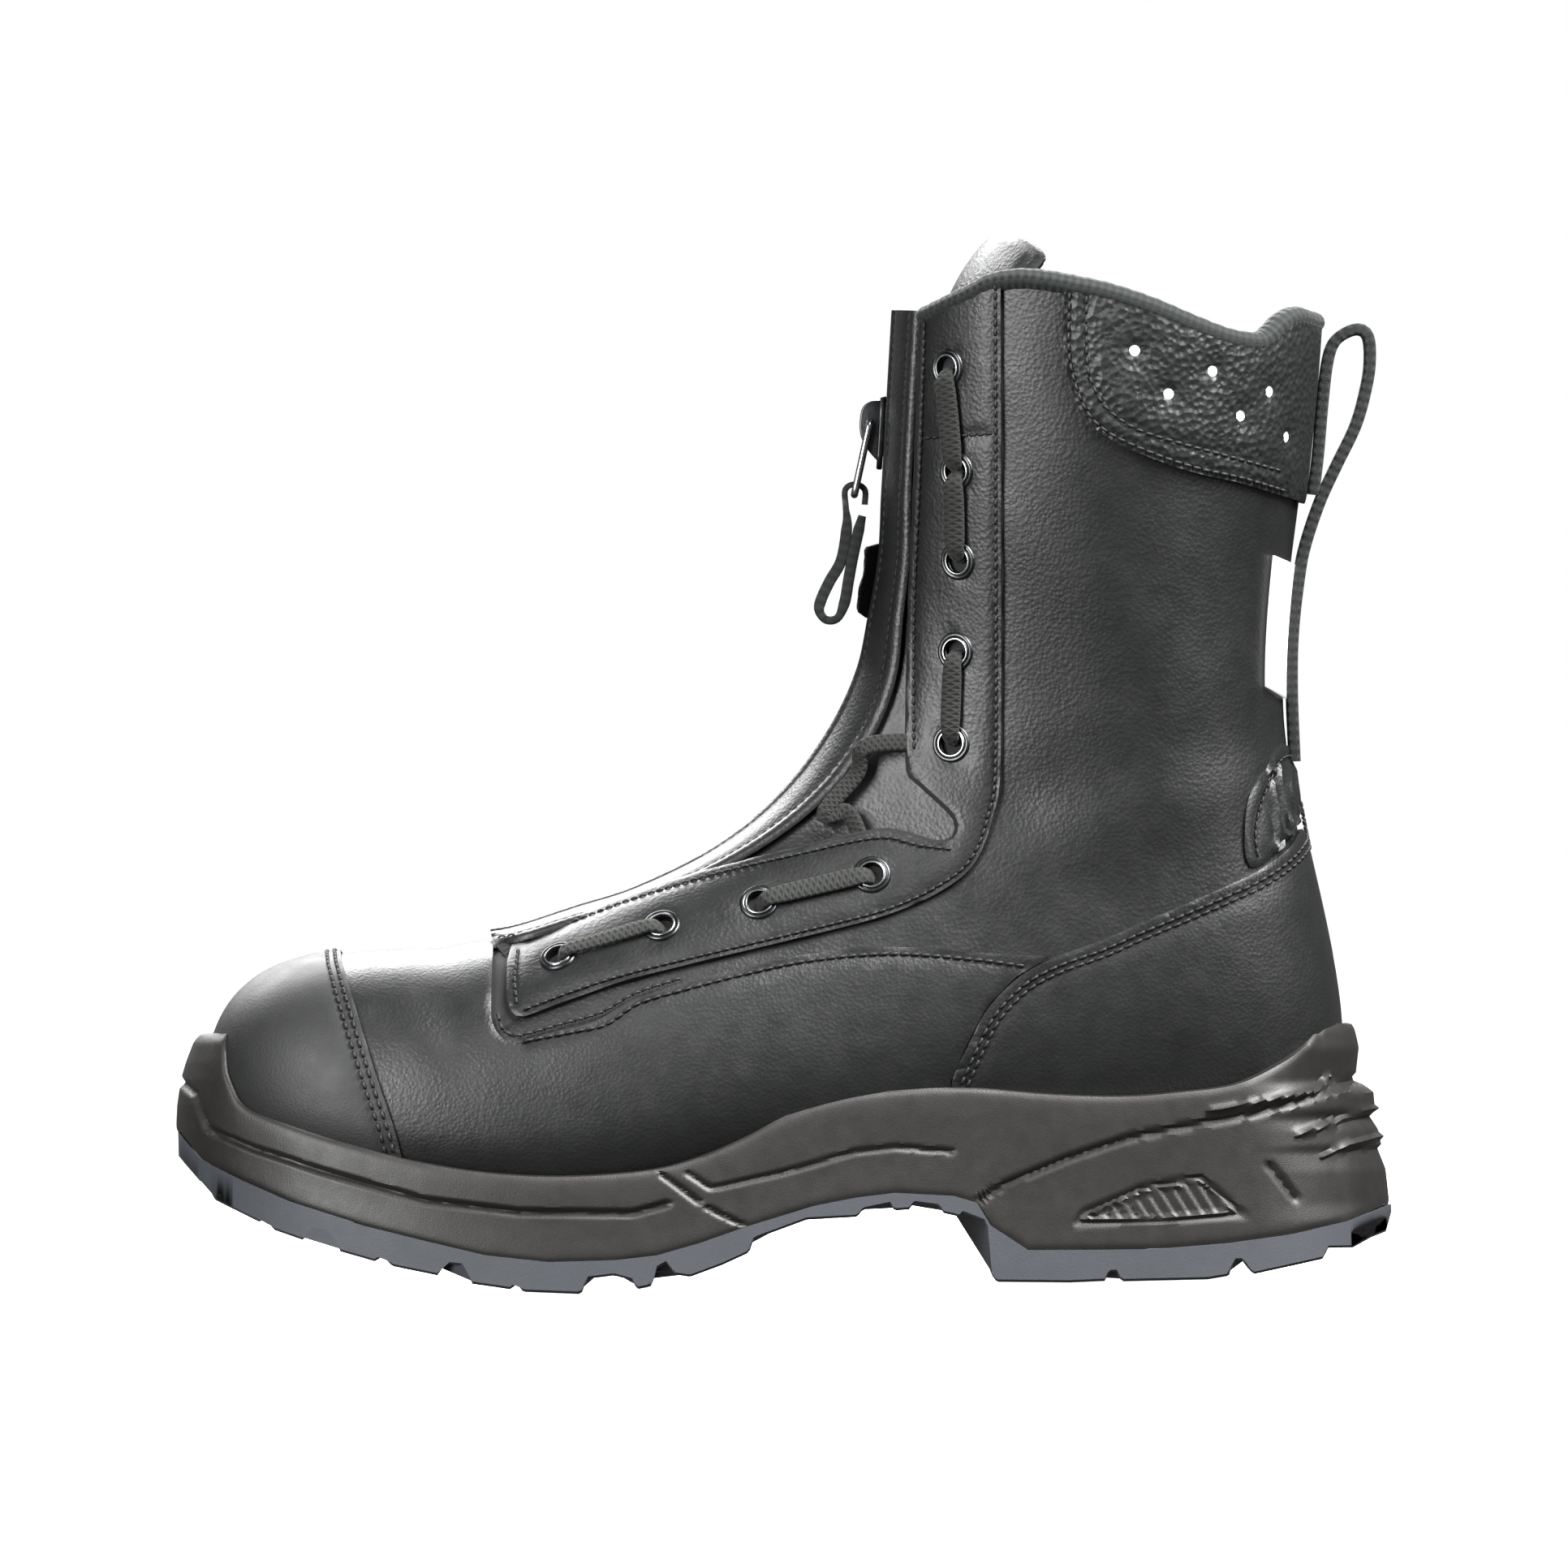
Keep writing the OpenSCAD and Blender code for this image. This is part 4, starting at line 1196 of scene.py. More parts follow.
COLLAR_EDGE = [(76.7, 256), (76, 240.8), (76.9, 231.8), (80.4, 222.1), (86.3, 216), (97.3, 210.5),
               (108.4, 206.5),
               (119.4, 203.8), (130.6, 200.2), (137, 198)]
COLLAR_SEAM = [(82.1, 255), (81.8, 236.9), (82.9, 230.2), (86.5, 223.5), (93.7, 218.1), (104.8, 214.1),
               (116, 210.8), (130, 206.6)]
COLLAR_HOLES = [(93.9, 237.9), (113.4, 232.3), (102.2, 226.7), (127.6, 226.9), (120.2, 220.8), (131.6, 215.3)]
CAP_SEAM = [(-113.2, 92), (-112.6, 86), (-109, 74.4), (-103.1, 55.5), (-98.2, 40.8), (-96.6, 33), (-96, 28.5)]
FACING_SEAMS = (FACING_SEAM, FACING_FRONT_SEAM, FACING_EDGE_SEAM, FACING_TOP_SEAM, FACING_CROSS_SEAM)
EYELETS = [(47.1, 234.6), (48.7, 208.2), (48.5, 185.3), (47.3, 162), (45.5, 138.4), (24, 104.9), (-4.9, 98.2),
           (-29.9, 92.6), (-56.3, 85.2)]
FLEX_EDGE = [(139, 137.5), (129.2, 137), (125.1, 130.2), (120.8, 123.6), (119.4, 116.3), (119.6, 107),
             (121.9, 105),
             (127.4, 108.6), (131.6, 113.4), (134.6, 119.5), (138, 124)]
FLEX_SEAM = [(133, 133.8), (128.7, 132.6), (125.7, 127), (122.8, 119.6), (121.8, 113.1), (122.3, 108.5)]
HIDDEN_MARGIN = 7.0


def dropped(points: Sequence, by: float) -> list:
    """The side-view places moved down."""
    return [(x, z - by) for x, z in points]


def beside(points: Sequence, by: float) -> list:
    """The side-view line moved sideways, to the left of its direction when positive."""
    return [tuple(p) for p in shifted(rounded(points, 2.0), by)]


UNDER_RIM = dropped(RIM[4:-1], HIDDEN_MARGIN)
TOP_EDGE = dropped(COLLAR, 1.6)


@dataclass
class Upper:
    """The leather shell: vamp, toe cap, quarters, counter, facings, collar and flex panel."""

    leather: float = 1.7
    cap_top: float = 3.25
    cap_thick: float = 1.3
    overlay: float = 1.8
    quarter_top: float = -0.1
    eyelet_hole: float = 3.7
    air_hole: float = 1.45
    strap_angle: float = 3.2

    def build(self) -> None:
        """Makes every panel and its stitching."""
        self.vamp()
        self.toe_cap()
        self.underlay()
        for side in Side:
            self.quarter(side)
            self.facing(side)
            self.backing(side)
            self.collar(side)
            self.vents(side)
        self.counter()
        self.flex_panel()

    def vamp(self) -> None:
        """Forefoot leather, from the toe to the quarters."""
        stroke = rounded(VAMP_TOP, 2.0).tolist() + [(60.3, 78.6), (52.1, 70.6), (47, 61.4), (42.7, 52.6),
                                                    (42.7, 42)]
        stroke += [p for p in UNDER_RIM[::-1] if p[0] < 42] + [(-141, 43)]
        loop = self._to_toe(Panel.front_loop(stroke), len(even(np.array(stroke), 1.5)), 0.75)
        seams = sum((Panel.seam_on(s, list(Side)) for s in VAMP_SEAMS), [])
        obj = Panel("vamp_leather", loop, self.overlay, self.leather, seams, seam_depth=0.6, ripple=0.16,
                    shape=self._toe_break).build()
        sewn = stitches("vamp_thread", seams, self.overlay - 0.12)
        sew("vamp", obj, sewn, "vamp_leather")

    @staticmethod
    def _to_toe(loop: Points, half: int, row: float) -> Points:
        """The loop whose stroke ended beside the toe, closed across the toe's tip at a row."""
        side, other = loop[:half], loop[half:]
        v = np.linspace(side[-1, 1], -side[-1, 1], 60)
        u = np.full(60, row)
        return np.vstack([side, np.stack([u, v], axis=1), other])

    @staticmethod
    def _toe_break(base: Points, uv: Points) -> Points:
        """Soft flex creases across the forefoot, behind the toe cap."""
        x, z = base[:, 0], base[:, 2]
        hump = np.exp(-((x + 84) / 14) ** 2) * np.clip((z - 45) / 30, 0, 1)
        return 0.3 * hump * np.sin((x + 0.25 * z) / 3.3)

    def toe_cap(self) -> None:
        """Smooth cap over the toe, with a double row of stitches."""
        stroke = rounded(CAP_SEAM, 2.0).tolist()
        stroke += [p for p in UNDER_RIM[::-1] if p[0] < -97] + [(-141, 43)]
        loop = self._to_toe(Panel.front_loop(stroke), len(even(np.array(stroke), 1.5)), 0.75)
        rows = [beside(CAP_SEAM[1:-1], by) for by in (-1.6, -3.6)]
        seams = [self._over_front(r) for r in rows]
        obj = Panel("toe_cap_leather", loop, self.cap_top, self.cap_thick, seams, edge_drop=0.6,
                    ripple=0.03).build()
        sewn = stitches("toe_cap_thread", seams, self.cap_top - 0.12)
        sew("toe_cap", obj, sewn, "cap_leather")

    @staticmethod
    def _over_front(points: Sequence) -> Points:
        """One seam over the front ridge, from the inner side to the outer."""
        inner = Last.uv(np.asarray(points), Side.INNER)
        inner[0, 1] = 0.0
        return np.vstack([inner[::-1], (inner * [1, -1])[1:]])

    def quarter(self, side: Side) -> None:
        """Side of the shaft and heel, under the overlays."""
        outline = QUARTER_FRONT + [p for p in TOP_EDGE if p[0] > 57]
        outline += [(155, 244), (160, 200), (160, 150), (160, 100), (158, 60), (147, 53)]
        outline += [p for p in UNDER_RIM[::-1] if p[0] > -76]
        obj = Panel(f"quarter_{side.label}_leather", Panel.side_loop(outline, side), self.quarter_top,
                    self.leather, cell=2.6, ripple=0.3, shape=self._shaft_folds).build()
        settle(dress(obj, "leather"), stands_for=(f"quarter_{side.label}",))

    @staticmethod
    def _shaft_folds(base: Points, uv: Points) -> Points:
        """Padding of the shaft: faint broad rolls that grow toward the ankle."""
        x, z = base[:, 0], base[:, 2]
        low = np.exp(-((z - 122) / 20) ** 2) * np.clip((x - 50) / 12, 0, 1) * np.clip((138 - x) / 12, 0, 1)
        shaft = np.exp(-((z - 175) / 40) ** 2) * np.clip((x - 62) / 10, 0, 1)
        return (0.55 * low * np.sin((z * 0.9 - x * 0.35) / 5.2)
                + 0.35 * shaft * np.sin((x + 0.3 * z) / 10.5)) - 0.1

    def counter(self) -> None:
        """Overlay round the heel, with two rows of stitches along its top."""
        stroke = [tuple(p) for p in rounded(COUNTER_SEAM[::-1], 2.0)]
        loop = Panel.back_loop(stroke + [p for p in UNDER_RIM if p[0] > 45] + [(147, 53), (160, 56)])
        loop = loop[np.abs(loop[:, 1] - 180) > 0.01]
        seams = []
        for by in (2.4, 4.0):
            line = beside(COUNTER_SEAM[1:-1], -by)
            seams += Panel.seam_on(line, list(Side), wrap=True)
        obj = Panel("heel_counter_leather", loop, self.overlay, self.leather, seams, ripple=0.2,
                    shape=self._heel_swell).build()
        sewn = stitches("heel_counter_thread", seams, self.overlay - 0.12)
        sew("heel_counter", obj, sewn, "vamp_leather")

    @staticmethod
    def _heel_swell(base: Points, uv: Points) -> Points:
        """Slight fullness over the stiffener."""
        x, z = base[:, 0], base[:, 2]
        return 0.35 * np.exp(-((x - 108) / 20) ** 2 - ((z - 76) / 13) ** 2)

    def facing(self, side: Side) -> None:
        """Eyelet stay along the opening.

        Args:
            side: the side of the boot.
        """
        outline = rounded(FACING_EDGE, 1.6).tolist() + rounded(FACING_BACK, 2.0).tolist()
        outline += [p for p in TOP_EDGE[::-1] if p[0] < 60]
        seams = sum((Panel.seam_on(line, [side]) for line in FACING_SEAMS), [])
        holes = [Panel.hole_loop(Hole(at, self.eyelet_hole), side) for at in EYELETS]
        obj = Panel(f"facing_{side.label}_leather", Panel.side_loop(outline, side), self.leather,
                    self.leather - 0.1, seams,
                    holes, cell=2.2, edge_drop=0.5, ripple=0.1).build()
        sewn = stitches(f"facing_{side.label}_thread", seams, self.leather - 0.1, 2.3, 1.6, 0.34)
        sew(f"facing_{side.label}", obj, sewn, "leather")

    def backing(self, side: Side) -> None:
        """Thin leather behind the eyelets, from the free edge to the quarter."""
        edge = shifted(rounded(FACING_EDGE, 1.6), -1.1).tolist()
        outline = edge + [(-66.5, 78), (-64, 73.5)] + [p for p in rounded(QUARTER_FRONT,
                                                                          2.0).tolist() if p[0] > -62]
        outline = [p for p in outline if p[1] < 247]
        obj = Panel(f"facing_{side.label}_backing", Panel.side_loop(outline, side), -0.1, 0.8, cell=3.2,
                    edge_drop=0.2, ripple=0.05).build()
        settle(dress(obj, "backing"))

    def underlay(self) -> None:
        """Leather tongue root, under the vamp's edge and the front of the facings."""
        stroke = [(-56, 120), (-56, 80), (-62, 74), (-72, 68), (-80, 66), (-84, 70), (-84, 120)]
        obj = Panel("vamp_underlay", Panel.front_loop(stroke), -0.1, 0.9, cell=3.0, edge_drop=0.2,
                    ripple=0.05).build()
        settle(dress(obj, "backing"))

    def vents(self, side: Side) -> None:
        """Pale discs of mesh at the bottom of the collar's holes, with a painted glow from their finish.

        Args:
            side: the side of the boot.
        """
        uv = Last.uv(np.array(COLLAR_HOLES), side)
        at, normal = Last.skin(uv, 0.75), Last.normal(uv)
        clear_selection()
        bpy.ops.mesh.primitive_cylinder_add(vertices=20, radius=1.42 * MM, depth=0.5 * MM)
        obj = placed_copies(f"collar_{side.label}_vents", bpy.context.object,
                            [aimed(p, n, (0, 0, 1)) for p, n in zip(at, normal)])
        smooth(obj, 40)
        settle(dress(obj, "reflective"))

    def collar(self, side: Side) -> None:
        """Padded, punched panel at the back of the collar.

        Args:
            side: the side of the boot.
        """
        outline = rounded(COLLAR_EDGE, 1.8).tolist() + [(160, 200), (155, 244)]
        outline += [p for p in TOP_EDGE[::-1] if p[0] > 77.5]
        loop = Panel.side_loop(outline, side)
        limit = 180 - self.strap_angle
        loop[:, 1] = side.value * np.minimum(np.abs(loop[:, 1]), limit)
        seams = Panel.seam_on(COLLAR_SEAM, [side]) + Panel.seam_on(beside(COLLAR_EDGE[:-1], 1.3), [side])
        holes = [Panel.hole_loop(Hole(at, self.air_hole), side) for at in COLLAR_HOLES]
        obj = Panel(f"collar_{side.label}_pad", loop, self.leather, 1.5, seams, holes, cell=2.2,
                    seam_depth=0.7,
                    dome=0.7, dome_width=12, ripple=0.12).build()
        sewn = stitches(f"collar_{side.label}_thread", seams, self.leather - 0.05, 2.6, 1.8, 0.36)
        sew(f"collar_{side.label}", obj, sewn, "pebble_leather")

    def flex_panel(self) -> None:
        """Ribbed panel over the tendon."""
        loop = Panel.back_loop([tuple(p) for p in rounded(FLEX_EDGE[1:], 1.6)][::-1])
        seams = Panel.seam_on(FLEX_SEAM, list(Side), wrap=True)
        obj = Panel("flex_panel", loop, 1.1, 1.0, seams, cell=1.5, ripple=0.1, shape=self._ribs).build()
        sewn = stitches("flex_panel_thread", seams, 1.1, 2.4, 1.7, 0.27)
        sew("achilles_panel", obj, sewn, "vamp_leather")

    @staticmethod
    def _ribs(base: Points, uv: Points) -> Points:
        """Level ribs inside the flex panel's seam."""
        x, z = base[:, 0], base[:, 2]
        within = np.clip((x - 124.5) / 2, 0, 1) * np.clip((133 - z) / 3, 0, 1) * np.clip((z - 108) / 2, 0, 1)
        return 0.75 * within * np.sin(z * 2 * math.pi / 3.3) + 0.2 * within


# ---------------------------------------------------------------- soles
PLAN = np.array([(-156, -2, 8), (-153.5, -13, 19), (-148, -24, 29), (-138, -34.5, 38), (-122, -44.5, 47),
                 (-100, -51, 52.8), (-78, -54.4, 55.4), (-56, -55.4, 54.5), (-34, -54, 50.5),
                 (-10, -50.5, 44.5),
                 (15, -47, 40), (45, -44, 38.5), (80, -42.5, 40), (110, -40.5, 39.5), (130, -36, 36),
                 (144, -27, 27), (152.5, -15, 15), (156, -4, 4)])
SPLIT = np.array([(-155.5, 43.3), (-149.6, 36.1), (-138, 30.2), (-126, 24.7), (-108, 18.7), (-92, 14.4),
                  (-77, 10.5), (-61, 8.4), (-44, 8.5), (-33, 9.5), (-22, 12.4), (-10, 16.3), (7, 21.1),
                  (18, 23), (28, 24), (43, 22.9), (49, 21), (52.5, 15), (62, 8.5), (96, 8.1), (112, 9),
                  (128, 10.8), (144, 14), (155, 17.7)])
TREAD = np.array([(-156.3, 37.7), (-149.8, 30.4), (-147.1, 29.9), (-146.7, 26), (-134.6, 19.9),
                  (-132.9, 20.9),
                  (-131.1, 17.9), (-123.6, 15.2), (-121.7, 17.7), (-115.8, 17), (-114.1, 12.1), (-105.2, 9.4),
                  (-103.1, 10.6), (-100.8, 8.1), (-89.2, 5.5), (-88.1, 8.6), (-82, 7.7), (-80.5, 3.2),
                  (-70.7, 1.6),
                  (-69, 2.8), (-67.4, 0.9), (-52.6, 0), (-51, 3.8), (-44.1, 4.5), (-39.6, 3.2), (-38.4, 0.9),
                  (-34.4, 1.6), (-33.3, 6), (-30.7, 7.4), (-28.7, 4.4), (-24.7, 3.7), (-16.3, 6.6),
                  (-9.4, 9.6),
                  (-8.3, 12.9), (5.4, 17.6), (18.3, 18), (19.8, 19.8), (26.8, 21.1), (27.8, 19.4),
                  (31.7, 19.6),
                  (32.8, 21.2), (39.3, 20.2), (40.3, 18.5), (44.6, 17.4), (45.3, 18.4), (51.5, 15.8),
                  (52.4, 2.2),
                  (53.5, 0.6), (72.4, 0), (81.5, 0.2), (82.2, 2.4), (84.6, 2.4), (85.4, 0), (107.5, 0),
                  (113.1, 0.8),
                  (114.4, 4.6), (116.7, 4.6), (119.2, 1), (137.6, 4.5), (138.5, 7.2), (145.2, 7.1),
                  (150, 9.5),
                  (154, 10.8), (155.8, 16.2)])
BED = np.array([(-156, 35), (-149, 27), (-134, 19.3), (-115, 11.5), (-97, 6), (-80, 2), (-69, 0), (-46, 0),
                (-35, 1.2),
                (-24, 4), (-9, 10), (5, 15.5), (18, 17.6), (30, 19.5), (44, 17.5), (51, 15.8), (52.6, 0),
                (108, 0), (120, 1.2), (138, 4.6), (150, 9.4), (156, 14)])
TOE_WALL = np.array([(43, 0.0), (50, 0.5), (56.6, 1.6), (61, 3.0), (65.9, 5.0), (69.5, 7.4), (72.7, 9.9)])
HEEL_WALL = np.array([(14, 0.0), (18.5, 1.2), (26.9, 2.0), (32.2, 4.0), (33.2, 3.0), (37.4, 3.9), (40.5, 5.9),
                      (42.6, 4.4), (46.8, 4.7), (50, 9.3), (58.3, 8.2), (64.2, 9.4)])


@dataclass(frozen=True)
class Relief:
    """A groove or ridge moulded in the side of the sole, along a side-view line."""

    line: tuple
    height: float
    width: float


RELIEFS = (
    Relief(((-158, 57), (-151.8, 52.8), (-147.8, 43.9), (-136.9, 38.9), (-119.5, 32.9), (-92.5, 24.8),
            (-68.6, 21.3),
            (-39.2, 20.3), (-30, 22.5)), -1.3, 1.5),
    Relief(((-31, 30), (-29.4, 28.8), (-21.8, 22.8)), -1.1, 1.3),
    Relief(((-19.6, 21.3), (-10.5, 16.5)), -1.1, 1.2),
    Relief(((-24.4, 30.2), (-18.8, 26.3), (-15.9, 26.7), (0, 29.9), (18.1, 34.7), (28.7, 35.7),
            (43.1, 34.1)), -0.9, 1.2),
    Relief(((49.7, 21.7), (56.1, 25.5), (72.3, 31.8), (88.2, 36.7), (108.3, 40.2), (120.5, 42), (144.4, 47.6),
            (160, 51)), -1.3, 1.4),
    Relief(((74.4, 15.1), (75.9, 17.8), (91.3, 23.9), (106.6, 26.3), (117.4, 16.4), (99.9, 15.4),
            (74.4, 15.1)), -0.9, 1.1),
    Relief(((124.6, 28.8), (131.1, 20.3)), -1.2, 1.6),
    Relief(((109.2, 43.2), (128.5, 46.2), (140.4, 47.8), (147.3, 50.8)), 1.3, 1.1),
    Relief(((132.3, 36.6), (151.6, 41.3), (160, 43)), 1.4, 1.3),
    Relief(((139.2, 30.8), (151.4, 34.5), (160, 36)), 1.3, 1.2),
)
WINDOW = np.array([(75.9, 16.2), (91.3, 22.6), (106.2, 25), (114.6, 17.2), (99.9, 16.4)])


@dataclass
class Sole:
    """Midsole and outsole, and the footbed on top."""

    step: float = 1.0
    rows: int = 46
    lip: float = 3.2

    def build(self) -> None:
        """Makes the soles; the upper is in place by then."""
        self.midsole()
        self.outsole()
        self.footbed()

    def outline(self, step: float) -> tuple:
        """The sole's plan as even points and outward directions.

        Args:
            step: distance between points.

        Returns:
            Points and directions, from the toe along the outer side to the heel and back.
        """
        ring = np.vstack([PLAN[:, [0, 1]], PLAN[::-1][:, [0, 2]]])
        closed = np.vstack([ring[-3:], ring, ring[:3]])
        fine = rounded(closed, 0.5)
        first = int(np.argmin(np.linalg.norm(fine[:200] - ring[0], axis=1)))
        last = len(fine) - 200 + int(np.argmin(np.linalg.norm(fine[-200:] - ring[0], axis=1)))
        loop = even(fine[first:last], step, closed=True)
        t = unit_rows(np.roll(loop, -2, 0) - np.roll(loop, 2, 0))
        return loop, np.stack([t[:, 1], -t[:, 0]], axis=1)

    def midsole(self) -> None:
        """Moulded side wall with its grooves, ridges and toe bumper, up to its lip on the leather."""
        loop, out = self.outline(self.step)
        n = len(loop)
        x = loop[:, 0]
        low = np.interp(x, SPLIT[:, 0], SPLIT[:, 1])
        rim = rounded(RIM, 1.0)
        top = np.interp(x, *self._single(rim))
        low = np.minimum(low, top - 8)
        t = np.linspace(0, 1, self.rows)
        z = low[None] + (top - low)[None] * t[:, None]
        toe = np.clip((-120 - x) / 30, 0, 1) ** 1.5
        heel = np.clip((x - 118) / 26, 0, 1) ** 1.5
        inset = (toe * np.interp(z, *TOE_WALL.T) + heel * np.interp(z, *HEEL_WALL.T)
                 + (1 - toe) * (1 - heel) * self._side_wall(t[:, None]))
        xx, yy = x[None] - out[None, :, 0] * inset, loop[None, :, 1] - out[None, :, 1] * inset
        raised = self._relief(np.stack([np.broadcast_to(x[None], z.shape).ravel(), z.ravel()],
                                       axis=1)).reshape(z.shape)
        edge = np.minimum(t, 1 - t)[:, None] * (top - low)[None]
        raised = raised * np.clip(edge / 1.2, 0, 1) - 0.5 * np.exp(-edge / 0.7)
        xx, yy = xx + out[None, :, 0] * raised, yy + out[None, :, 1] * raised
        body = np.stack([xx, yy, z], axis=-1)
        lips = self._lips(body[-1], out)
        under = body[0] - np.stack([out[:, 0] * 6, out[:, 1] * 6, np.zeros(n)], axis=1)
        rings = np.concatenate([under[None], body, lips])
        obj = new_object("midsole_rubber", *stacked(rings, capped=False))
        close_up(obj)
        smooth(obj, 38)
        settle(dress(obj, "midsole"), stands_for=("midsole",))

    @staticmethod
    def _single(line: Points) -> tuple:
        """The line as increasing x and its z, with its turn back at the toe taken out.

        Args:
            line: the line's points.

        Returns:
            Increasing x, and z for each.
        """
        keep = [0]
        order = np.argsort(line[:, 0], kind="stable")
        line = line[order]
        for i in range(1, len(line)):
            if line[i, 0] > line[keep[-1], 0] + 1e-6:
                keep.append(i)
        x, z = line[keep, 0].copy(), line[keep, 1].copy()
        front = x < -141
        z[front] = np.interp(x[front], [-156, -150, -147.5, -144.5, -141], [72.7, 72.2, 68, 58, 51.2])
        return x, z

    @staticmethod
    def _side_wall(t: Points) -> Points:
        """How far the side wall lies inside the plan: a soft hollow under a proud rim."""
        return 0.9 + 0.6 * np.sin(np.pi * t) + 1.4 * t ** 4

    @staticmethod
    def _relief(places: Points) -> Points:
        """Height of the moulded lines at side-view places.

        Args:
            places: side-view places.

        Returns:
            One height per place.
        """
        out = np.zeros(len(places))
        for relief in RELIEFS:
            d = gap_to(places, even(np.array(relief.line), 0.5))
            shape = np.clip(1 - d / relief.width, 0, 1)
            out = out + relief.height * (3 * shape ** 2 - 2 * shape ** 3)
        ribs = inside(places, WINDOW)
        along = places[:, 0] + places[:, 1] * 0.6
        return out + np.where(ribs, -0.6 + 0.35 * np.sin(along * 2 * math.pi / 3.6), 0)

    def _lips(self, rim: Points, out: Points) -> Points:
        """Rings that carry the rim in over the leather until they are buried in it.

        Args:
            rim: the wall's top points.
            out: outward directions in plan.

        Returns:
            Three rings of points.
        """
        tree = upper_tree()
        reach = np.empty(len(rim))
        for i, (p, d) in enumerate(zip(rim, out)):
            hit = tree.ray_cast(Vector(p) * MM, Vector((-d[0], -d[1], 0)), 0.03)
            reach[i] = hit[3] / MM if hit[0] is not None else 3.0
        smoothed = np.convolve(np.concatenate([reach[-4:], reach, reach[:4]]), np.ones(9) / 9, "valid")
        reach = np.maximum(reach, smoothed)
        rings = []
        for share, drop in ((0.35, -0.35), (0.8, -0.15), (1.0, 0.9)):
            shift = reach * share + (0.8 if share == 1.0 else 0.0)
            rings.append(rim - np.stack([out[:, 0] * shift, out[:, 1] * shift, np.full(len(rim), drop)],
                                        axis=1))
        return np.array(rings)

    def outsole(self) -> None:
        """Lugged rubber: a wall that follows the lugs, and a tread that is cut between them."""
        xs = np.arange(-155.6, 155.7, 0.8)
        ts = np.concatenate([[0, 0.006], np.linspace(0.02, 0.98, 86), [0.994, 1]])
        fine = rounded(PLAN[:, [0, 1]], 0.5), rounded(PLAN[:, [0, 2]], 0.5)
        outer, inner = np.interp(xs, *fine[0].T) + 0.7, np.interp(xs, *fine[1].T) - 0.7
        y = outer[:, None] + (inner - outer)[:, None] * ts[None]
        x = np.broadcast_to(xs[:, None], y.shape)
        from_edge = np.minimum(y - outer[:, None], inner[:, None] - y)
        top = np.broadcast_to(np.interp(xs, *SPLIT.T)[:, None], y.shape)
        bottom = np.minimum(self._tread(x, y, from_edge) + 0.7 * np.exp(-from_edge / 0.5), top - 1.2)
        obj = slab("outsole_rubber", np.stack([x, y, bottom], axis=-1), np.stack([x, y, top], axis=-1))
        smooth(obj, 32)
        settle(dress(obj, "outsole"), stands_for=("outsole",))

    @staticmethod
    def _tread(x: Points, y: Points, from_edge: Points) -> Points:
        """Height of the tread: the side lugs' profile at the edge, chevron lugs and channels between.

        Args:
            x: places along the boot.
            y: places across the boot.
            from_edge: distance from the sole's edge.

        Returns:
            Height of each place.
        """
        edge_line = np.interp(x, *TREAD.T)
        bed = np.interp(x, *BED.T)
        middle = y - 1.0
        chevron = x + 0.55 * np.abs(middle)
        heel = (x > 56) & (x < 152)
        fore = (x > -146) & (x < -22)
        phase = np.abs(((chevron + 150) / 19.0) % 1 - 0.5)
        groove = np.clip((phase - 0.36) / 0.06, 0, 1)
        channel = np.clip(1 - np.abs(np.abs(from_edge) - 17) / 2.2, 0, 1)
        channel = np.clip(channel * 2.5, 0, 1)
        pattern = np.maximum(groove, channel) * np.where(heel | fore, 1.0, 0.0)
        shank = np.where((x > -22) & (x < 52), 1.0 + 0.9 * (np.sin(x * 2 * math.pi / 8) > 0.3), 0.0)
        inner = np.maximum(bed + 4.4 * pattern + shank, edge_line)
        blend = np.clip((from_edge - 15.5) / 1.0, 0, 1)
        return edge_line * (1 - blend) + inner * blend

    def footbed(self) -> None:
        """Cushioned insert with a cupped heel, seen down the shaft."""
        xs = np.linspace(-132, 128, 120)
        ts = np.linspace(-1, 1, 41)
        mid = np.interp(xs, [-132, -115, -60, -10, 50, 100, 128], [2.5, 1.5, -0.5, -2.5, -1.2, 0, 0])
        half = np.interp(xs, [-132, -127, -115, -80, -40, 0, 50, 90, 112, 123, 128],
                         [7, 17, 27, 37, 38, 33, 29, 28, 24.5, 16, 6])
        bed = np.interp(xs, *spline_rows(Last.ROWS, np.linspace(1.5, 12.6, 60))[:, 2:4].T) + 8.3
        y = mid[:, None] + half[:, None] * ts[None]
        cup = 1.2 + 4.2 * np.clip((xs - 30) / 60, 0, 1)[:, None]
        top = bed[:,
                  None] + 4.2 + cup * np.abs(ts[None]) ** 3.5 - 0.9 * np.exp(-((1 - np.abs(ts)) / 0.05))[None]
        low = bed[:, None] + 0.4 + (cup + 1.2) * np.abs(ts[None]) ** 4
        low = np.minimum(low, top - 0.6)
        x = np.broadcast_to(xs[:, None], y.shape)
        obj = slab("footbed_cushion", np.stack([x, y, top], axis=-1), np.stack([x, y, low], axis=-1),
                   turned=True)
        smooth(obj, 45)
        settle(dress(obj, "footbed_cloth"), stands_for=("footbed",))


def upper_tree() -> BVHTree:
    """Search tree over the built leather that the sole's lip closes on.

    Returns:
        The tree, in metres.
    """
    verts, faces = [], []
    for obj in bpy.context.scene.objects:
        if obj.type == "MESH" and obj.name.endswith("_leather") and not obj.name.startswith("facing"):
            start = len(verts)
            verts += [v.co for v in obj.data.vertices]
            faces += [[i + start for i in p.vertices] for p in obj.data.polygons]
    return BVHTree.FromPolygons(verts, faces)


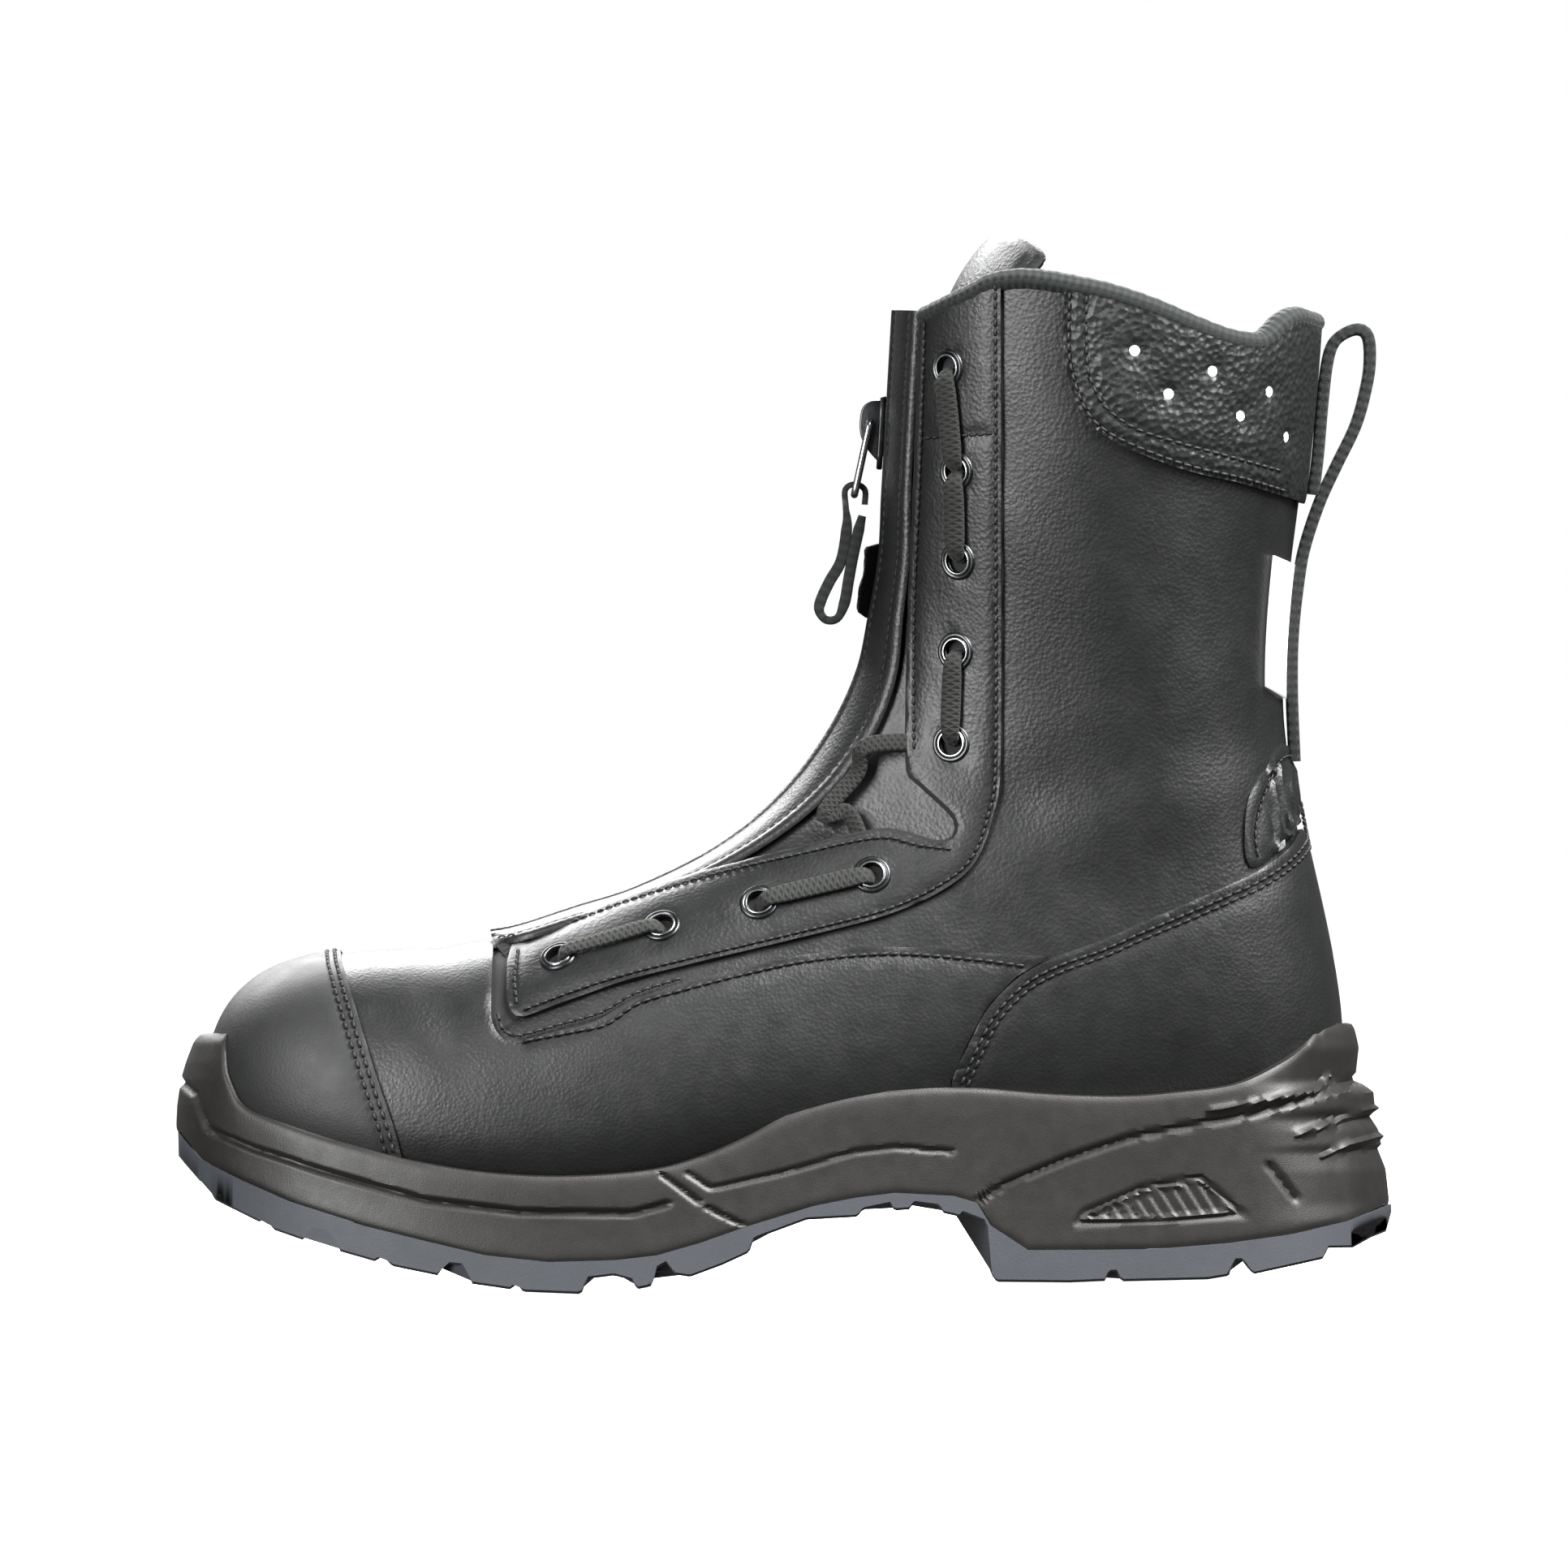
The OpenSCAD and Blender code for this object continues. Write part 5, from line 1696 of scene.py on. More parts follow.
# ---------------------------------------------------------------- zipper insert
ZIP_TOP, ZIP_BEND = (34, 250), (29, 187)
ZIP_LINE = np.array([ZIP_TOP, (32.75, 234.25), (31.5, 218.5), (30.25, 202.75), ZIP_BEND, (25.8, 171),
                     (22.5, 158),
                     (16, 144.5), (6.5, 131), (-5, 119.5), (-19, 110), (-37, 101.8), (-52, 97.3), (-66, 93),
                     (-74, 91.4)])
ZIP_LEAN = math.atan2(ZIP_TOP[0] - ZIP_BEND[0], ZIP_TOP[1] - ZIP_BEND[1])
SLIDER_MID, SLIDER_LEN, SLIDER_WIDTH = 31.5, 19.0, 11.0
PIN = np.array([26.123, 221.534])
BAR = PIN - [4.4, 18.5]


GUSSET_TIES = ((0, 44, 249), (2, 43, 218), (4, 41, 187), (5, 40.5, 171), (6, 41, 155), (7, 45, 139),
               (8, 51, 121),
               (8.5, 47, 108.5), (9, 29, 108.5), (9.5, 9, 105.5), (10, -10, 102), (11, -33, 95.5),
               (12, -50, 90),
               (13, -62, 85), (14, -67, 82))


class Track:
    """The zipper's middle line and the bowed surface that lies across it."""

    END = len(ZIP_LINE) - 1

    @classmethod
    def row(cls, u: Points) -> Points:
        """Side-view places along the line; u counts its points."""
        t = np.vstack([2 * ZIP_LINE[0] - ZIP_LINE[1], ZIP_LINE, 2 * ZIP_LINE[-1] - ZIP_LINE[-2]])
        u = np.atleast_1d(np.asarray(u, float))
        i = np.clip(np.floor(u).astype(int), 0, cls.END - 1)
        f = (u - i)[:, None]
        a, b, c, d = t[i], t[i + 1], t[i + 2], t[np.minimum(i + 3, len(t) - 1)]
        return through(a, b, c, d, f)

    @classmethod
    def at(cls, u: Points, y: Points, off: Points) -> Points:
        """3-D points at rows u, at a distance y across and off above the leather's underside.

        Args:
            u: rows of the track.
            y: distance across the track.
            off: height above the surface, in millimetres.

        Returns:
            The places, in millimetres.
        """
        u, y, off = np.broadcast_arrays(*(np.asarray(v, float) for v in (u, y, off)))
        shape = u.shape
        u, y, off = u.ravel(), y.ravel(), off.ravel()
        p = cls.row(u)
        d = unit_rows(cls.row(u + 0.02) - cls.row(u - 0.02))
        bow = 0.012 + 0.01 * np.exp(-((u - 7) / 2.2) ** 2) - 0.0007 * np.maximum(u - 4, 0)
        drop = off - bow * y * y
        return np.stack([p[:, 0] + d[:, 1] * drop, y, p[:, 1] - d[:, 0] * drop], axis=1).reshape(shape + (3,))

    @classmethod
    def rows_by_length(cls, step: float, first: float = 0.0, last: float = 1e9) -> Points:
        """Rows u at even lengths along the line."""
        u = np.linspace(0, cls.END, 1500)
        p = cls.row(u)
        s = lengths(p)
        return np.interp(np.arange(first, min(last, s[-1]), step), s, u)

    @classmethod
    def matrix(cls, s: float) -> Matrix:
        """Frame at a length s below the top of the zipper: X into the boot, Z up along the teeth."""
        at = Vector((ZIP_TOP[0] - s * math.sin(ZIP_LEAN), 0, ZIP_TOP[1] - s * math.cos(ZIP_LEAN))) * MM
        return Matrix.Translation(at) @ Matrix.Rotation(ZIP_LEAN, 4, "Y")


@dataclass
class ZipperInsert:
    """The lace-in insert: two leather flaps, tapes, teeth, stops and the hook patch."""

    inner_edge: float = 6.6
    outer_edge: float = 22.6
    tooth_pitch: float = 3.2

    def build(self) -> None:
        """Makes both halves."""
        for side in Side:
            self.flap(side)
            self.tape(side)
            self.teeth(side)
            self.gusset(side)
        self.stops()
        self.hook_patch()

    def gusset(self, side: Side) -> None:
        """Soft leather that closes the gap between the flap and the facing.

        Args:
            side: the side of the boot.
        """
        u = np.linspace(0.25, Track.END - 0.1, 90)
        ties = np.array(GUSSET_TIES)
        back = np.stack([np.interp(u, ties[:, 0], ties[:, k]) for k in (1, 2)], axis=1)
        far = Last.on(back, side, -2.4)
        near = Track.at(u, side.value * 19.0, -0.5)
        f = np.linspace(0, 1, 14)[None, :, None]
        pts = near[:, None] * (1 - f) + far[:, None] * f
        obj = new_object(f"gusset_{side.label}", pts.reshape(-1, 3), grid_quads(*pts.shape[:2], turned=True))
        apply_modifier(obj, "SOLIDIFY", thickness=0.7 * MM, offset=0.0)
        smooth(obj, 60)
        settle(dress(obj, "leather"))

    def band(self, name: str, side: Side, profile: Points, u: Points) -> Piece:
        """A closed profile of (across, height) pairs carried along the track on one side."""
        pts = Track.at(u[:, None], side.value * profile[None, :, 0], profile[None, :, 1])
        obj = new_object(name, *stacked(pts), tube_uv(pts[:, 0], profile))
        face_out(obj)
        smooth(obj, 60)
        return obj

    def flap(self, side: Side) -> None:
        """Leather flap with a rolled inner edge, a stitched channel and a turned outer edge.

        Args:
            side: the side of the boot.
        """
        a, b = self.inner_edge, self.outer_edge
        upper = [(a, 0.5), (a - 0.1, 1.4), (a + 0.5, 2.2), (a + 1.4, 2.5), (a + 2.4, 2.2), (a + 2.9, 1.75),
                 (a + 3.5, 2.0), (a + 6, 2.15), (a + 9, 2.15), (b - 3.6, 2.05), (b - 3.0, 1.7),
                 (b - 2.4, 2.05),
                 (b - 1.2, 2.2), (b - 0.3, 1.8), (b, 1.1), (b - 0.1, 0.3)]
        lower = [(b - 1, 0.05), (b - 6, 0.05), (a + 6, 0.05), (a + 1, 0.05)]
        u = Track.rows_by_length(1.6)
        u = np.append(u[u < Track.END - 0.1], Track.END - 0.02)
        profile = np.array(upper + lower)
        obj = self.band(f"zip_flap_{side.label}", side, profile, u)
        self.round_tip(obj, side)
        places = []
        for y in (a + 2.9, b - 3.0):
            rows = Track.rows_by_length(2.4, 2)
            rows = rows[rows < Track.END - 0.3]
            p = Track.at(rows, side.value * y, 1.75)
            q = Track.at(rows, side.value * y, 2.75)
            places += [aimed(c, n, t) for c, n, t in zip(p, q - p, np.gradient(p, axis=0))]
        sewn = placed_copies(f"zip_flap_{side.label}_thread", stitch_master(1.7, 0.27), places)
        sew(f"zip_panel_{side.label}", obj, sewn, "leather")

    def round_tip(self, obj: Piece, side: Side) -> None:
        """Draws the flap's toe end and top in to rounded corners.

        Args:
            obj: the piece.
            side: the side of the boot.
        """
        tip = Track.row(np.array([Track.END]))[0]
        for v in obj.data.vertices:
            away = math.hypot(v.co.x / MM - tip[0], v.co.z / MM - tip[1])
            if away < 12:
                f = math.sqrt(max(1 - ((12 - away) / 12.5) ** 2, 0.02))
                y = abs(v.co.y) / MM
                v.co.y = side.value * MM * (self.inner_edge + (y - self.inner_edge) * f)
        obj.data.update()

    def tape(self, side: Side) -> None:
        """Woven tape that carries the teeth, corded along its edge."""
        profile = np.array([(3.0, -1.0), (3.0, -0.2), (3.7, 0.05), (4.4, -0.25), (7, -0.35), (10.4, -0.35),
                            (10.4, -1.0),
                            (7, -1.05)])
        u = Track.rows_by_length(2.5)
        u = u[u < Track.END - 0.6]
        obj = self.band(f"zip_tape_{side.label}_weave", side, profile, u)
        settle(dress(obj, "zip_tape"), stands_for=(f"zip_tape_{side.label}",))

    def teeth(self, side: Side) -> None:
        """A row of moulded teeth, each with a rounded head toward the middle.

        Args:
            side: the side of the boot.
        """
        clear_selection()
        bpy.ops.mesh.primitive_cube_add(size=1)
        tooth = bpy.context.object
        tooth.scale = (2.3 * MM, 2.4 * MM, 1.5 * MM)
        bpy.ops.object.transform_apply(scale=True)
        bpy.ops.object.mode_set(mode="EDIT")
        bpy.ops.mesh.select_all(action="DESELECT")
        bpy.ops.object.mode_set(mode="OBJECT")
        for face in tooth.data.polygons:
            face.select = face.normal.y * side.value < -0.9
        bpy.ops.object.mode_set(mode="EDIT")
        bpy.ops.mesh.select_mode(type="FACE")
        bpy.ops.transform.resize(value=(0.8, 1, 0.62))
        bpy.ops.mesh.select_all(action="SELECT")
        bpy.ops.mesh.bevel(offset=0.28 * MM, segments=2, affect="EDGES")
        bpy.ops.object.mode_set(mode="OBJECT")
        shift = 0.0 if side is Side.OUTER else 0.5
        u = Track.rows_by_length(self.tooth_pitch, 22.6 + shift * self.tooth_pitch)
        u = u[u < Track.END - 0.75]
        p = Track.at(u, side.value * 1.75, 0.0)
        d = Track.at(u + 0.02, 0, 0) - Track.at(u - 0.02, 0, 0)
        x_axis = np.stack([d[:, 2], 0 * u, -d[:, 0]], axis=1)
        places = [aimed(a, -b, c) for a, b, c in zip(p, d, x_axis)]
        obj = placed_copies(f"zip_teeth_{side.label}_metal", tooth, places)
        smooth(obj, 50)
        settle(dress(obj, "black_metal"), stands_for=(f"zip_teeth_{side.label}",))

    def stops(self) -> None:
        """A clamped stop above the teeth of each tape."""
        parts = []
        for side in Side:
            parts.append(block((3, 2.2, 3), (0, side.value * 2.0, 0), 0.6))
        obj = joined("zip_stops_metal", parts)
        obj.data.transform(Track.matrix(SLIDER_MID - SLIDER_LEN / 2 - 2))
        smooth(obj, 50)
        settle(dress(obj, "black_metal"), stands_for=("zip_stops",))

    def hook_patch(self) -> None:
        """Fuzzy keeper for the pull tab, on the inner flap."""
        y = np.concatenate([[7.6], np.linspace(8.0, 19.6, 14), [20]])
        u = np.linspace(3.8, 5.0, 20)
        ends = np.minimum((u - u[0]) / 0.12, (u[-1] - u) / 0.12)
        swell = np.sqrt(np.clip(1 - (1 - np.clip(ends, 0, 1)) ** 2, 0.02, 1))
        across = np.minimum((y - y[0]) / 1.2, (y[-1] - y) / 1.2)
        crown = np.sqrt(np.clip(1 - (1 - np.clip(across, 0, 1)) ** 2, 0.02, 1))
        tufts = 0.35 * np.sin(u[:, None] * 90 + y[None] * 2.1) * crown[None]
        top = 2.4 + 3.6 * swell[:, None] * crown[None] + tufts
        lower = np.full_like(top, 2.32)
        ring = np.concatenate([Track.at(u[:, None], y[None], top),
                               Track.at(u[:, None], y[None, ::-1], lower)], axis=1)
        obj = new_object("hook_patch_loops", *stacked(ring))
        close_up(obj)
        settle(dress(obj, "hook_loop"), stands_for=("hook_patch",))


@dataclass
class Slider:
    """Slider body, wire puller and strap tab, each on its own body."""

    wire: float = 0.95
    puller_half: float = 3.4
    tab_width: float = 12.0

    TAB = ((2.6, -2.6), (2.7, 1.2), (0.2, 2.7), (-2.3, 1.4), (-2.3, -3), (-2.1, -8), (-3.7, -16.6),
           (-6.9, -22.2),
           (-9.1, -26.7), (-9.7, -29.6), (-8.0, -32.0), (-5.0, -31.6), (-3.1, -27.5), (-2.0, -22), (-0.9,
                                                                                                    -16.6),
           (0.8, -9.5), (1.9, -5.5))
    CROWN = ((-3.0, 8.3), (-5.6, 8.0), (-7.3, 6.9), (-8.1, 5.0), (-8.2, 1.0), (-7.4, -2.0), (-5.6, -4.8),
             (-3.0, -7.4))

    def build(self) -> None:
        """Makes the three moving pieces."""
        self.body()
        self.puller()
        self.tab()

    def plate(self, x: float, thick: float) -> Piece:
        """One shield-shaped plate with pressed, rounded edges."""
        w, h = SLIDER_WIDTH / 2, SLIDER_LEN / 2
        pts = [(-w + 3, -h), (-w + 1.2, -h + 2), (-w, h - 4), (-w + 1.5, h), (w - 1.5, h), (w, h - 4),
               (w - 1.2, -h + 2),
               (w - 3, -h)]
        ring = even(np.array(pts, float), 1.4, closed=True)
        return prism("plate", [(x, a, b) for a, b in ring], [(x + thick, a, b) for a, b in ring], 0.45, 40)

    def crown(self) -> Piece:
        """Solid rounded bridge that holds the puller's pin."""
        arch, half = rounded(self.CROWN, 0.9), 1.9
        return prism("crown", [(x, -half, z) for x, z in arch], [(x, half, z) for x, z in arch], 0.6, 50)

    def body(self) -> None:
        """Slider body with its crown, wedge and flanges."""
        parts = [self.plate(-3.3, 1.5), self.plate(1.9, 1.4),
                 block((3.9, 0.8, 6), (0.1, 0, SLIDER_LEN / 2 - 3), 0.25)]
        for side in Side:
            parts.append(block((1.2, 1.9, SLIDER_LEN - 6), (-1.2, side.value * 4.5, 0.2), 0.4))
        parts.append(self.crown())
        obj = joined("slider_body", parts)
        obj.data.transform(Track.matrix(SLIDER_MID))
        smooth(obj, 45)
        settle(dress(obj, "gunmetal"), "slider", ("zip_slider",))

    def puller(self) -> None:
        """Wire bail from the crown to the tab."""
        h, r = self.puller_half, 1.3
        corners = []
        for end, sign in ((PIN, 1), (BAR, -1)):
            way = unit_rows((BAR - PIN)[None])[0] * (1 if end is PIN else -1)
            for y in (-h * sign, h * sign):
                inward = -np.sign(y)
                pts = [((end + way * r)[0], y, (end + way * r)[1]),
                       ((end + way * r * 0.3)[0], y + inward * r * 0.3, (end + way * r * 0.3)[1]),
                       (end[0], y + inward * r, end[1])]
                corners += pts if y == -h * sign else pts[::-1]
        loop = even(np.array(corners), 0.55, closed=True)
        obj = sweep("puller_wire", loop, np.tile([1.0, 0.3, 0.2], (len(loop), 1)),
                    oval_section(2 * self.wire, 2 * self.wire, 12),
                    closed=True)
        smooth(obj, 60)
        settle(dress(obj, "wire"), "puller", ("zip_puller",))

    def tab(self) -> None:
        """Folded strap that hangs from the bail, narrow where it passes round the wire."""
        route = rounded(self.TAB, 0.7)
        path = np.stack([route[:, 0] + BAR[0], 0 * route[:, 0], route[:, 1] + BAR[1]], axis=1)
        t = unit_rows(np.gradient(path, axis=0))
        up = np.stack([t[:, 2], 0 * t[:, 0], -t[:, 0]], axis=1)
        width = np.interp(route[:, 1], [-40, -3.4, -0.9, 5], [self.tab_width, self.tab_width, 3.8, 3.8])
        thick = np.interp(route[:, 1], [-40, -31, -28, -9, -4, 5], [1.9, 2.1, 2.9, 2.9, 1.6, 1.5])
        section = np.array([flat_section(w, t, 0.5, 3) for w, t in zip(width, thick)])
        obj = sweep("pull_tab_strap", path, up, section)
        smooth(obj, 60)
        settle(dress(obj, "webbing"), "tab", ("pull_tab",))


# ---------------------------------------------------------------- eyelets and laces
@dataclass
class Lacing:
    """Eyelets in both facings, and the flat lace on each side."""

    ring_top: float = 1.9
    widths: tuple = (6.2, 6.0, 5.6, 5.4, 5.2, 5.0, 4.8, 4.6)
    thick: float = 1.7

    OUTSIDE = (True, True, False, True, False, True, False, True)
    ANKLE_RUN = 4

    def build(self) -> None:
        """Makes eyelets and laces on both sides."""
        for side in Side:
            self.eyelets(side)
            self.lace(side)

    def eyelet(self) -> Piece:
        """One pressed eyelet, spun from its section round Z.

        Returns:
            The piece.
        """
        section = [(3.0, -1.3), (2.95, 1.2), (3.0, 1.9), (3.15, 2.25), (3.4, 2.32), (3.62, 2.2), (3.8, 1.95),
                   (4.05, 2.1), (4.45, 2.14), (4.8, 1.95), (5.0, 1.55), (4.7, 1.45), (3.5, 1.45), (3.4, -1.3)]
        mesh = bpy.data.meshes.new("eyelet")
        mesh.from_pydata([(r * MM, 0, z * MM) for r, z in section],
                         [(i, i + 1) for i in range(len(section) - 1)], [])
        obj = bpy.data.objects.new("eyelet", mesh)
        bpy.context.scene.collection.objects.link(obj)
        pick(obj)
        bpy.ops.object.mode_set(mode="EDIT")
        bpy.ops.mesh.select_all(action="SELECT")
        bpy.ops.mesh.spin(steps=40, angle=2 * math.pi, center=(0, 0, 0), axis=(0, 0, 1))
        bpy.ops.mesh.select_all(action="SELECT")
        bpy.ops.mesh.remove_doubles(threshold=1e-5)
        bpy.ops.mesh.normals_make_consistent(inside=False)
        bpy.ops.object.mode_set(mode="OBJECT")
        return obj

    def eyelets(self, side: Side) -> None:
        """All the eyelets of one facing, dark with a bright inner ring.

        Args:
            side: the side of the boot.
        """
        uv = Last.uv(np.array(EYELETS), side)
        at, normal = Last.point(uv), Last.normal(uv)
        obj = placed_copies(f"eyelets_{side.label}_metal", self.eyelet(),
                            [aimed(p, n, (0, 0, 1)) for p, n in zip(at, normal)])
        obj = dress(obj, "gunmetal", "bright_ring")
        for face in obj.data.polygons:
            c = np.array(face.center) / MM
            k = int(np.argmin(np.linalg.norm(at - c, axis=1)))
            up = float((c - at[k]) @ normal[k])
            r = math.sqrt(max(float((c - at[k]) @ (c - at[k])) - up * up, 0))
            face.material_index = 1 if 3.12 < r < 3.6 and up > 1.7 else 0
        smooth(obj, 50)
        settle(obj, stands_for=(f"eyelets_{side.label}",))

    def run(self, i: int, side: Side) -> tuple:
        """Path, up directions and widths of the visible lace between eyelets i and i + 1.

        Args:
            i: number of the upper eyelet.
            side: the side of the boot.

        Returns:
            Path, up directions and widths.
        """
        a, b = np.array(EYELETS[i]), np.array(EYELETS[i + 1])
        length = float(np.linalg.norm(b - a))
        stops = [(0, -2.2), (0.3, -0.4), (1.3, 1.9), (2.9, 2.95), (6, 3.1), (length / 2, 3.0),
                 (length - 6, 3.1),
                 (length - 2.9, 2.95), (length - 1.3, 1.9), (length - 0.3, -0.4), (length, -2.2)]
        fine = rounded(stops, 0.8)
        xz = a + (b - a) * (fine[:, :1] / length)
        uv = Last.uv(xz, side)
        up = Last.normal(uv)
        path = Last.point(uv) + up * fine[:, 1:2]
        w = self.widths[i]
        width = np.interp(np.minimum(fine[:, 0], length - fine[:, 0]), [0, 1.2, 3.2, 6.5],
                          [3.6, 4.2, w * 0.9, w])
        return path, up, width

    def ankle(self, side: Side) -> tuple:
        """Path of the run that goes out to the insert and back.

        Args:
            side: the side of the boot.

        Returns:
            Path, up directions and widths.
        """
        s = side.value
        outer_a, outer_b = Track.at(7.6, s * 24.6, 0.6), Track.at(8.3, s * 24.8, 0.6)
        first = Last.on(np.array([EYELETS[4], (40, 138.8)]), side, -2.6)
        last = Last.on(np.array([(23, 109), EYELETS[5]]), side, -2.6)
        anchor = [first[0], first[1], [30, s * 27.3, 139.2], [22, s * 26.2, 137.6],
                  outer_a.ravel() + [1.5, 0, 1.5],
                  outer_b.ravel() + [1.8, 0, 0], [18.5, s * 26.4, 121], last[0], last[1]]
        path = rounded(anchor, 0.9)
        up = np.tile([-0.55, s * 0.8, 0.15], (len(path), 1))
        return path, up, np.full(len(path), 4.6)

    def lace(self, side: Side) -> None:
        """The flat braid on one side.

        Args:
            side: the side of the boot.
        """
        parts = []
        for i, outside in enumerate(self.OUTSIDE):
            if outside:
                path, up, width = self.run(i, side)
            elif i == self.ANKLE_RUN:
                path, up, width = self.ankle(side)
            else:
                continue
            thick = self.thick + 0.9 * np.clip((4.6 - width) / 1.2, 0, 1)
            section = np.array([oval_flat(w, t) for w, t in zip(width, thick)])
            parts.append(sweep("lace_run", path, up, section))
        obj = joined(f"lace_{side.label}_braid", parts)
        smooth(obj, 60)
        settle(dress(obj, "lace"), stands_for=(f"lace_{side.label}",))


def oval_flat(width: float, thick: float) -> Points:
    """Outline of a soft flat band, fuller in the middle."""
    a = np.linspace(0, 2 * np.pi, 18, endpoint=False)
    return np.stack([width / 2 * np.sign(np.cos(a)) * np.abs(np.cos(a)) ** 0.75,
                     thick / 2 * np.sign(np.sin(a)) * np.abs(np.sin(a)) ** 0.8], axis=1)


# ---------------------------------------------------------------- collar trim, back strap and inside
@dataclass
class Trim:
    """Binding, back strap, reflective strip, tongue and lining."""

    strap_width: float = 16.0
    strap_thick: float = 3.0
    binding_drop: float = 2.7

    LOOP = ((139.6, 200.5), (140.4, 206), (141.2, 212), (142.5, 224), (143.9, 234), (145.7, 239.3),
            (149.2, 242), (152.6, 242.6), (154.6, 240.5), (154.9, 235), (154, 228.6),
            (151, 218.3), (145.6, 207.6), (141.2, 198.5), (137.4, 188), (135.6, 180), (133.6, 165),
            (133, 150),
            (133.3, 132))
    TONGUE = ((-60, 81, 18, 2), (-42, 90, 22, 4), (-20, 100, 25, 6), (-4, 109, 28, 9), (5, 114, 29, 10),
              (12.5, 124, 30, 11), (19.5, 138, 30.5, 12), (27.5, 154, 31, 12), (33.5, 172, 32, 13),
              (38.5, 200, 33, 14),
              (41.5, 230, 34, 15), (44.5, 248, 34, 15), (49.5, 258.5, 33, 16), (55.5, 266.5, 31, 17.5),
              (61, 270.6, 29, 11))

    def build(self) -> None:
        """Makes the trim pieces."""
        self.binding()
        self.loop()
        self.strip()
        self.tongue()
        self.lining()

    def binding(self) -> None:
        """Rolled textile edge all round the collar."""
        line = rounded(dropped(COLLAR, self.binding_drop), 1.2)
        outer = Last.uv(line, Side.OUTER)
        inner = Last.uv(line, Side.INNER)[::-1]
        back = np.linspace(Last.uv(line, Side.OUTER)[-1, 1], -180, 12)[1:]
        back_outer = np.stack([np.full(11, outer[-1, 0]), back], axis=1)
        back_inner = np.stack([np.full(11, outer[-1, 0]), -back[::-1]], axis=1)
        uv = np.vstack([outer, back_outer, back_inner[1:], inner])
        path = even(Last.skin(uv, -1.0), 1.2)
        up = np.tile([0.0, 0.0, 1.0], (len(path), 1))
        wave = 1 + 0.03 * np.sin(np.arange(len(path)) * 1.7)
        section = np.array([oval_section(6.6 * w, 5.4 * w, 16) for w in wave])
        obj = sweep("collar_binding", path, up, section)
        smooth(obj, 70)
        settle(dress(obj, "binding"), stands_for=("top_binding",))

    def loop(self) -> None:
        """Back strap and finger loop in one webbing."""
        route = rounded(self.LOOP, 1.2)
        path = np.stack([route[:, 0], 0 * route[:, 0], route[:, 1]], axis=1)
        t = unit_rows(np.gradient(path, axis=0))
        up = np.stack([-t[:, 2], 0 * t[:, 0], t[:, 0]], axis=1)
        section = flat_section(self.strap_width, self.strap_thick, 0.8, 4)
        obj = sweep("pull_loop_webbing", path, up, section)
        smooth(obj, 60)
        settle(dress(obj, "webbing"), stands_for=("pull_loop",))

    def strip(self) -> None:
        """White strip that shows at both sides of the strap; its finish glows, a painted glow."""
        z = np.linspace(148.2, 183.8, 26)
        ang = 27.0
        u = Last.uv(np.stack([np.full(26, 131.0), z], axis=1), Side.INNER)[:, 0]
        v = np.linspace(180 - ang, 180 + ang, 32)
        uu, vv = np.meshgrid(u, v, indexing="ij")
        uv = np.stack([uu.ravel(), vv.ravel()], axis=1)
        verts, faces = Last.skin(uv, 0.75), grid_quads(len(z), len(v), turned=True)
        obj = new_object("reflective_strip_film", verts, faces)
        a, b, c = verts[faces[0, :3]]
        if np.cross(b - a, c - a) @ Last.normal(uv[:1])[0] < 0:
            obj.data.flip_normals()
        apply_modifier(obj, "SOLIDIFY", thickness=0.6 * MM, offset=-1.0)
        settle(dress(obj, "reflective"), stands_for=("reflective_strip",))

    def tongue(self) -> None:
        """Padded tongue with a sunk line round its border, bowed round the shin and rounded at its top
        corners.
        """
        rows = np.array(self.TONGUE, float)
        f = np.sin(np.linspace(-1, 1, 49) * math.pi / 2)
        end = len(rows) - 1 - 1.3 * np.abs(f) ** 3.5
        u = np.linspace(0, 1, 120)[:, None] * end[None]
        r = spline_rows(rows, u.ravel()).reshape(u.shape + (4,))
        ahead = spline_rows(rows, u.ravel() + 0.05).reshape(u.shape + (4,))[..., :2]
        behind = spline_rows(rows, np.maximum(u.ravel() - 0.05, 0)).reshape(u.shape + (4,))[..., :2]
        d = unit_rows(ahead - behind)
        n = np.stack([-d[..., 1], d[..., 0]], axis=-1)
        edge = np.minimum((1 - np.abs(f))[None] * r[..., 2], (end[None] - u) * 7.5)
        puff = 0.9 * np.clip(edge / 3, 0, 1) - 1.0 * np.exp(-((edge - 2.4) / 0.8) ** 2)
        back = (r[..., 3] * f[None] ** 2)[..., None]
        level = np.clip((u - 10.5) / 1.5, 0, 1)[..., None]
        spine = r[..., :2] - back * (n * (1 - level) + np.array([-1.0, 0.0]) * level)
        rim = 1.6 * np.exp(-edge / 0.9)
        across = r[..., 2] * f[None]
        top, under = (np.stack([spine[..., 0] + n[..., 0] * h, across, spine[..., 1] + n[..., 1] * h],
                               axis=-1)
                      for h in (puff * 0.6 - 0.4 - rim, rim - 3.8 - puff * 0.7))
        inward = self._held_in(top.reshape(-1, 3)).reshape(top.shape)
        under = under + (inward - top)
        ring = np.concatenate([inward, under[:, ::-1]], axis=1)
        obj = new_object("tongue_pad", *stacked(ring))
        close_up(obj)
        smooth(obj, 60)
        settle(dress(obj, "leather"), stands_for=("tongue",))

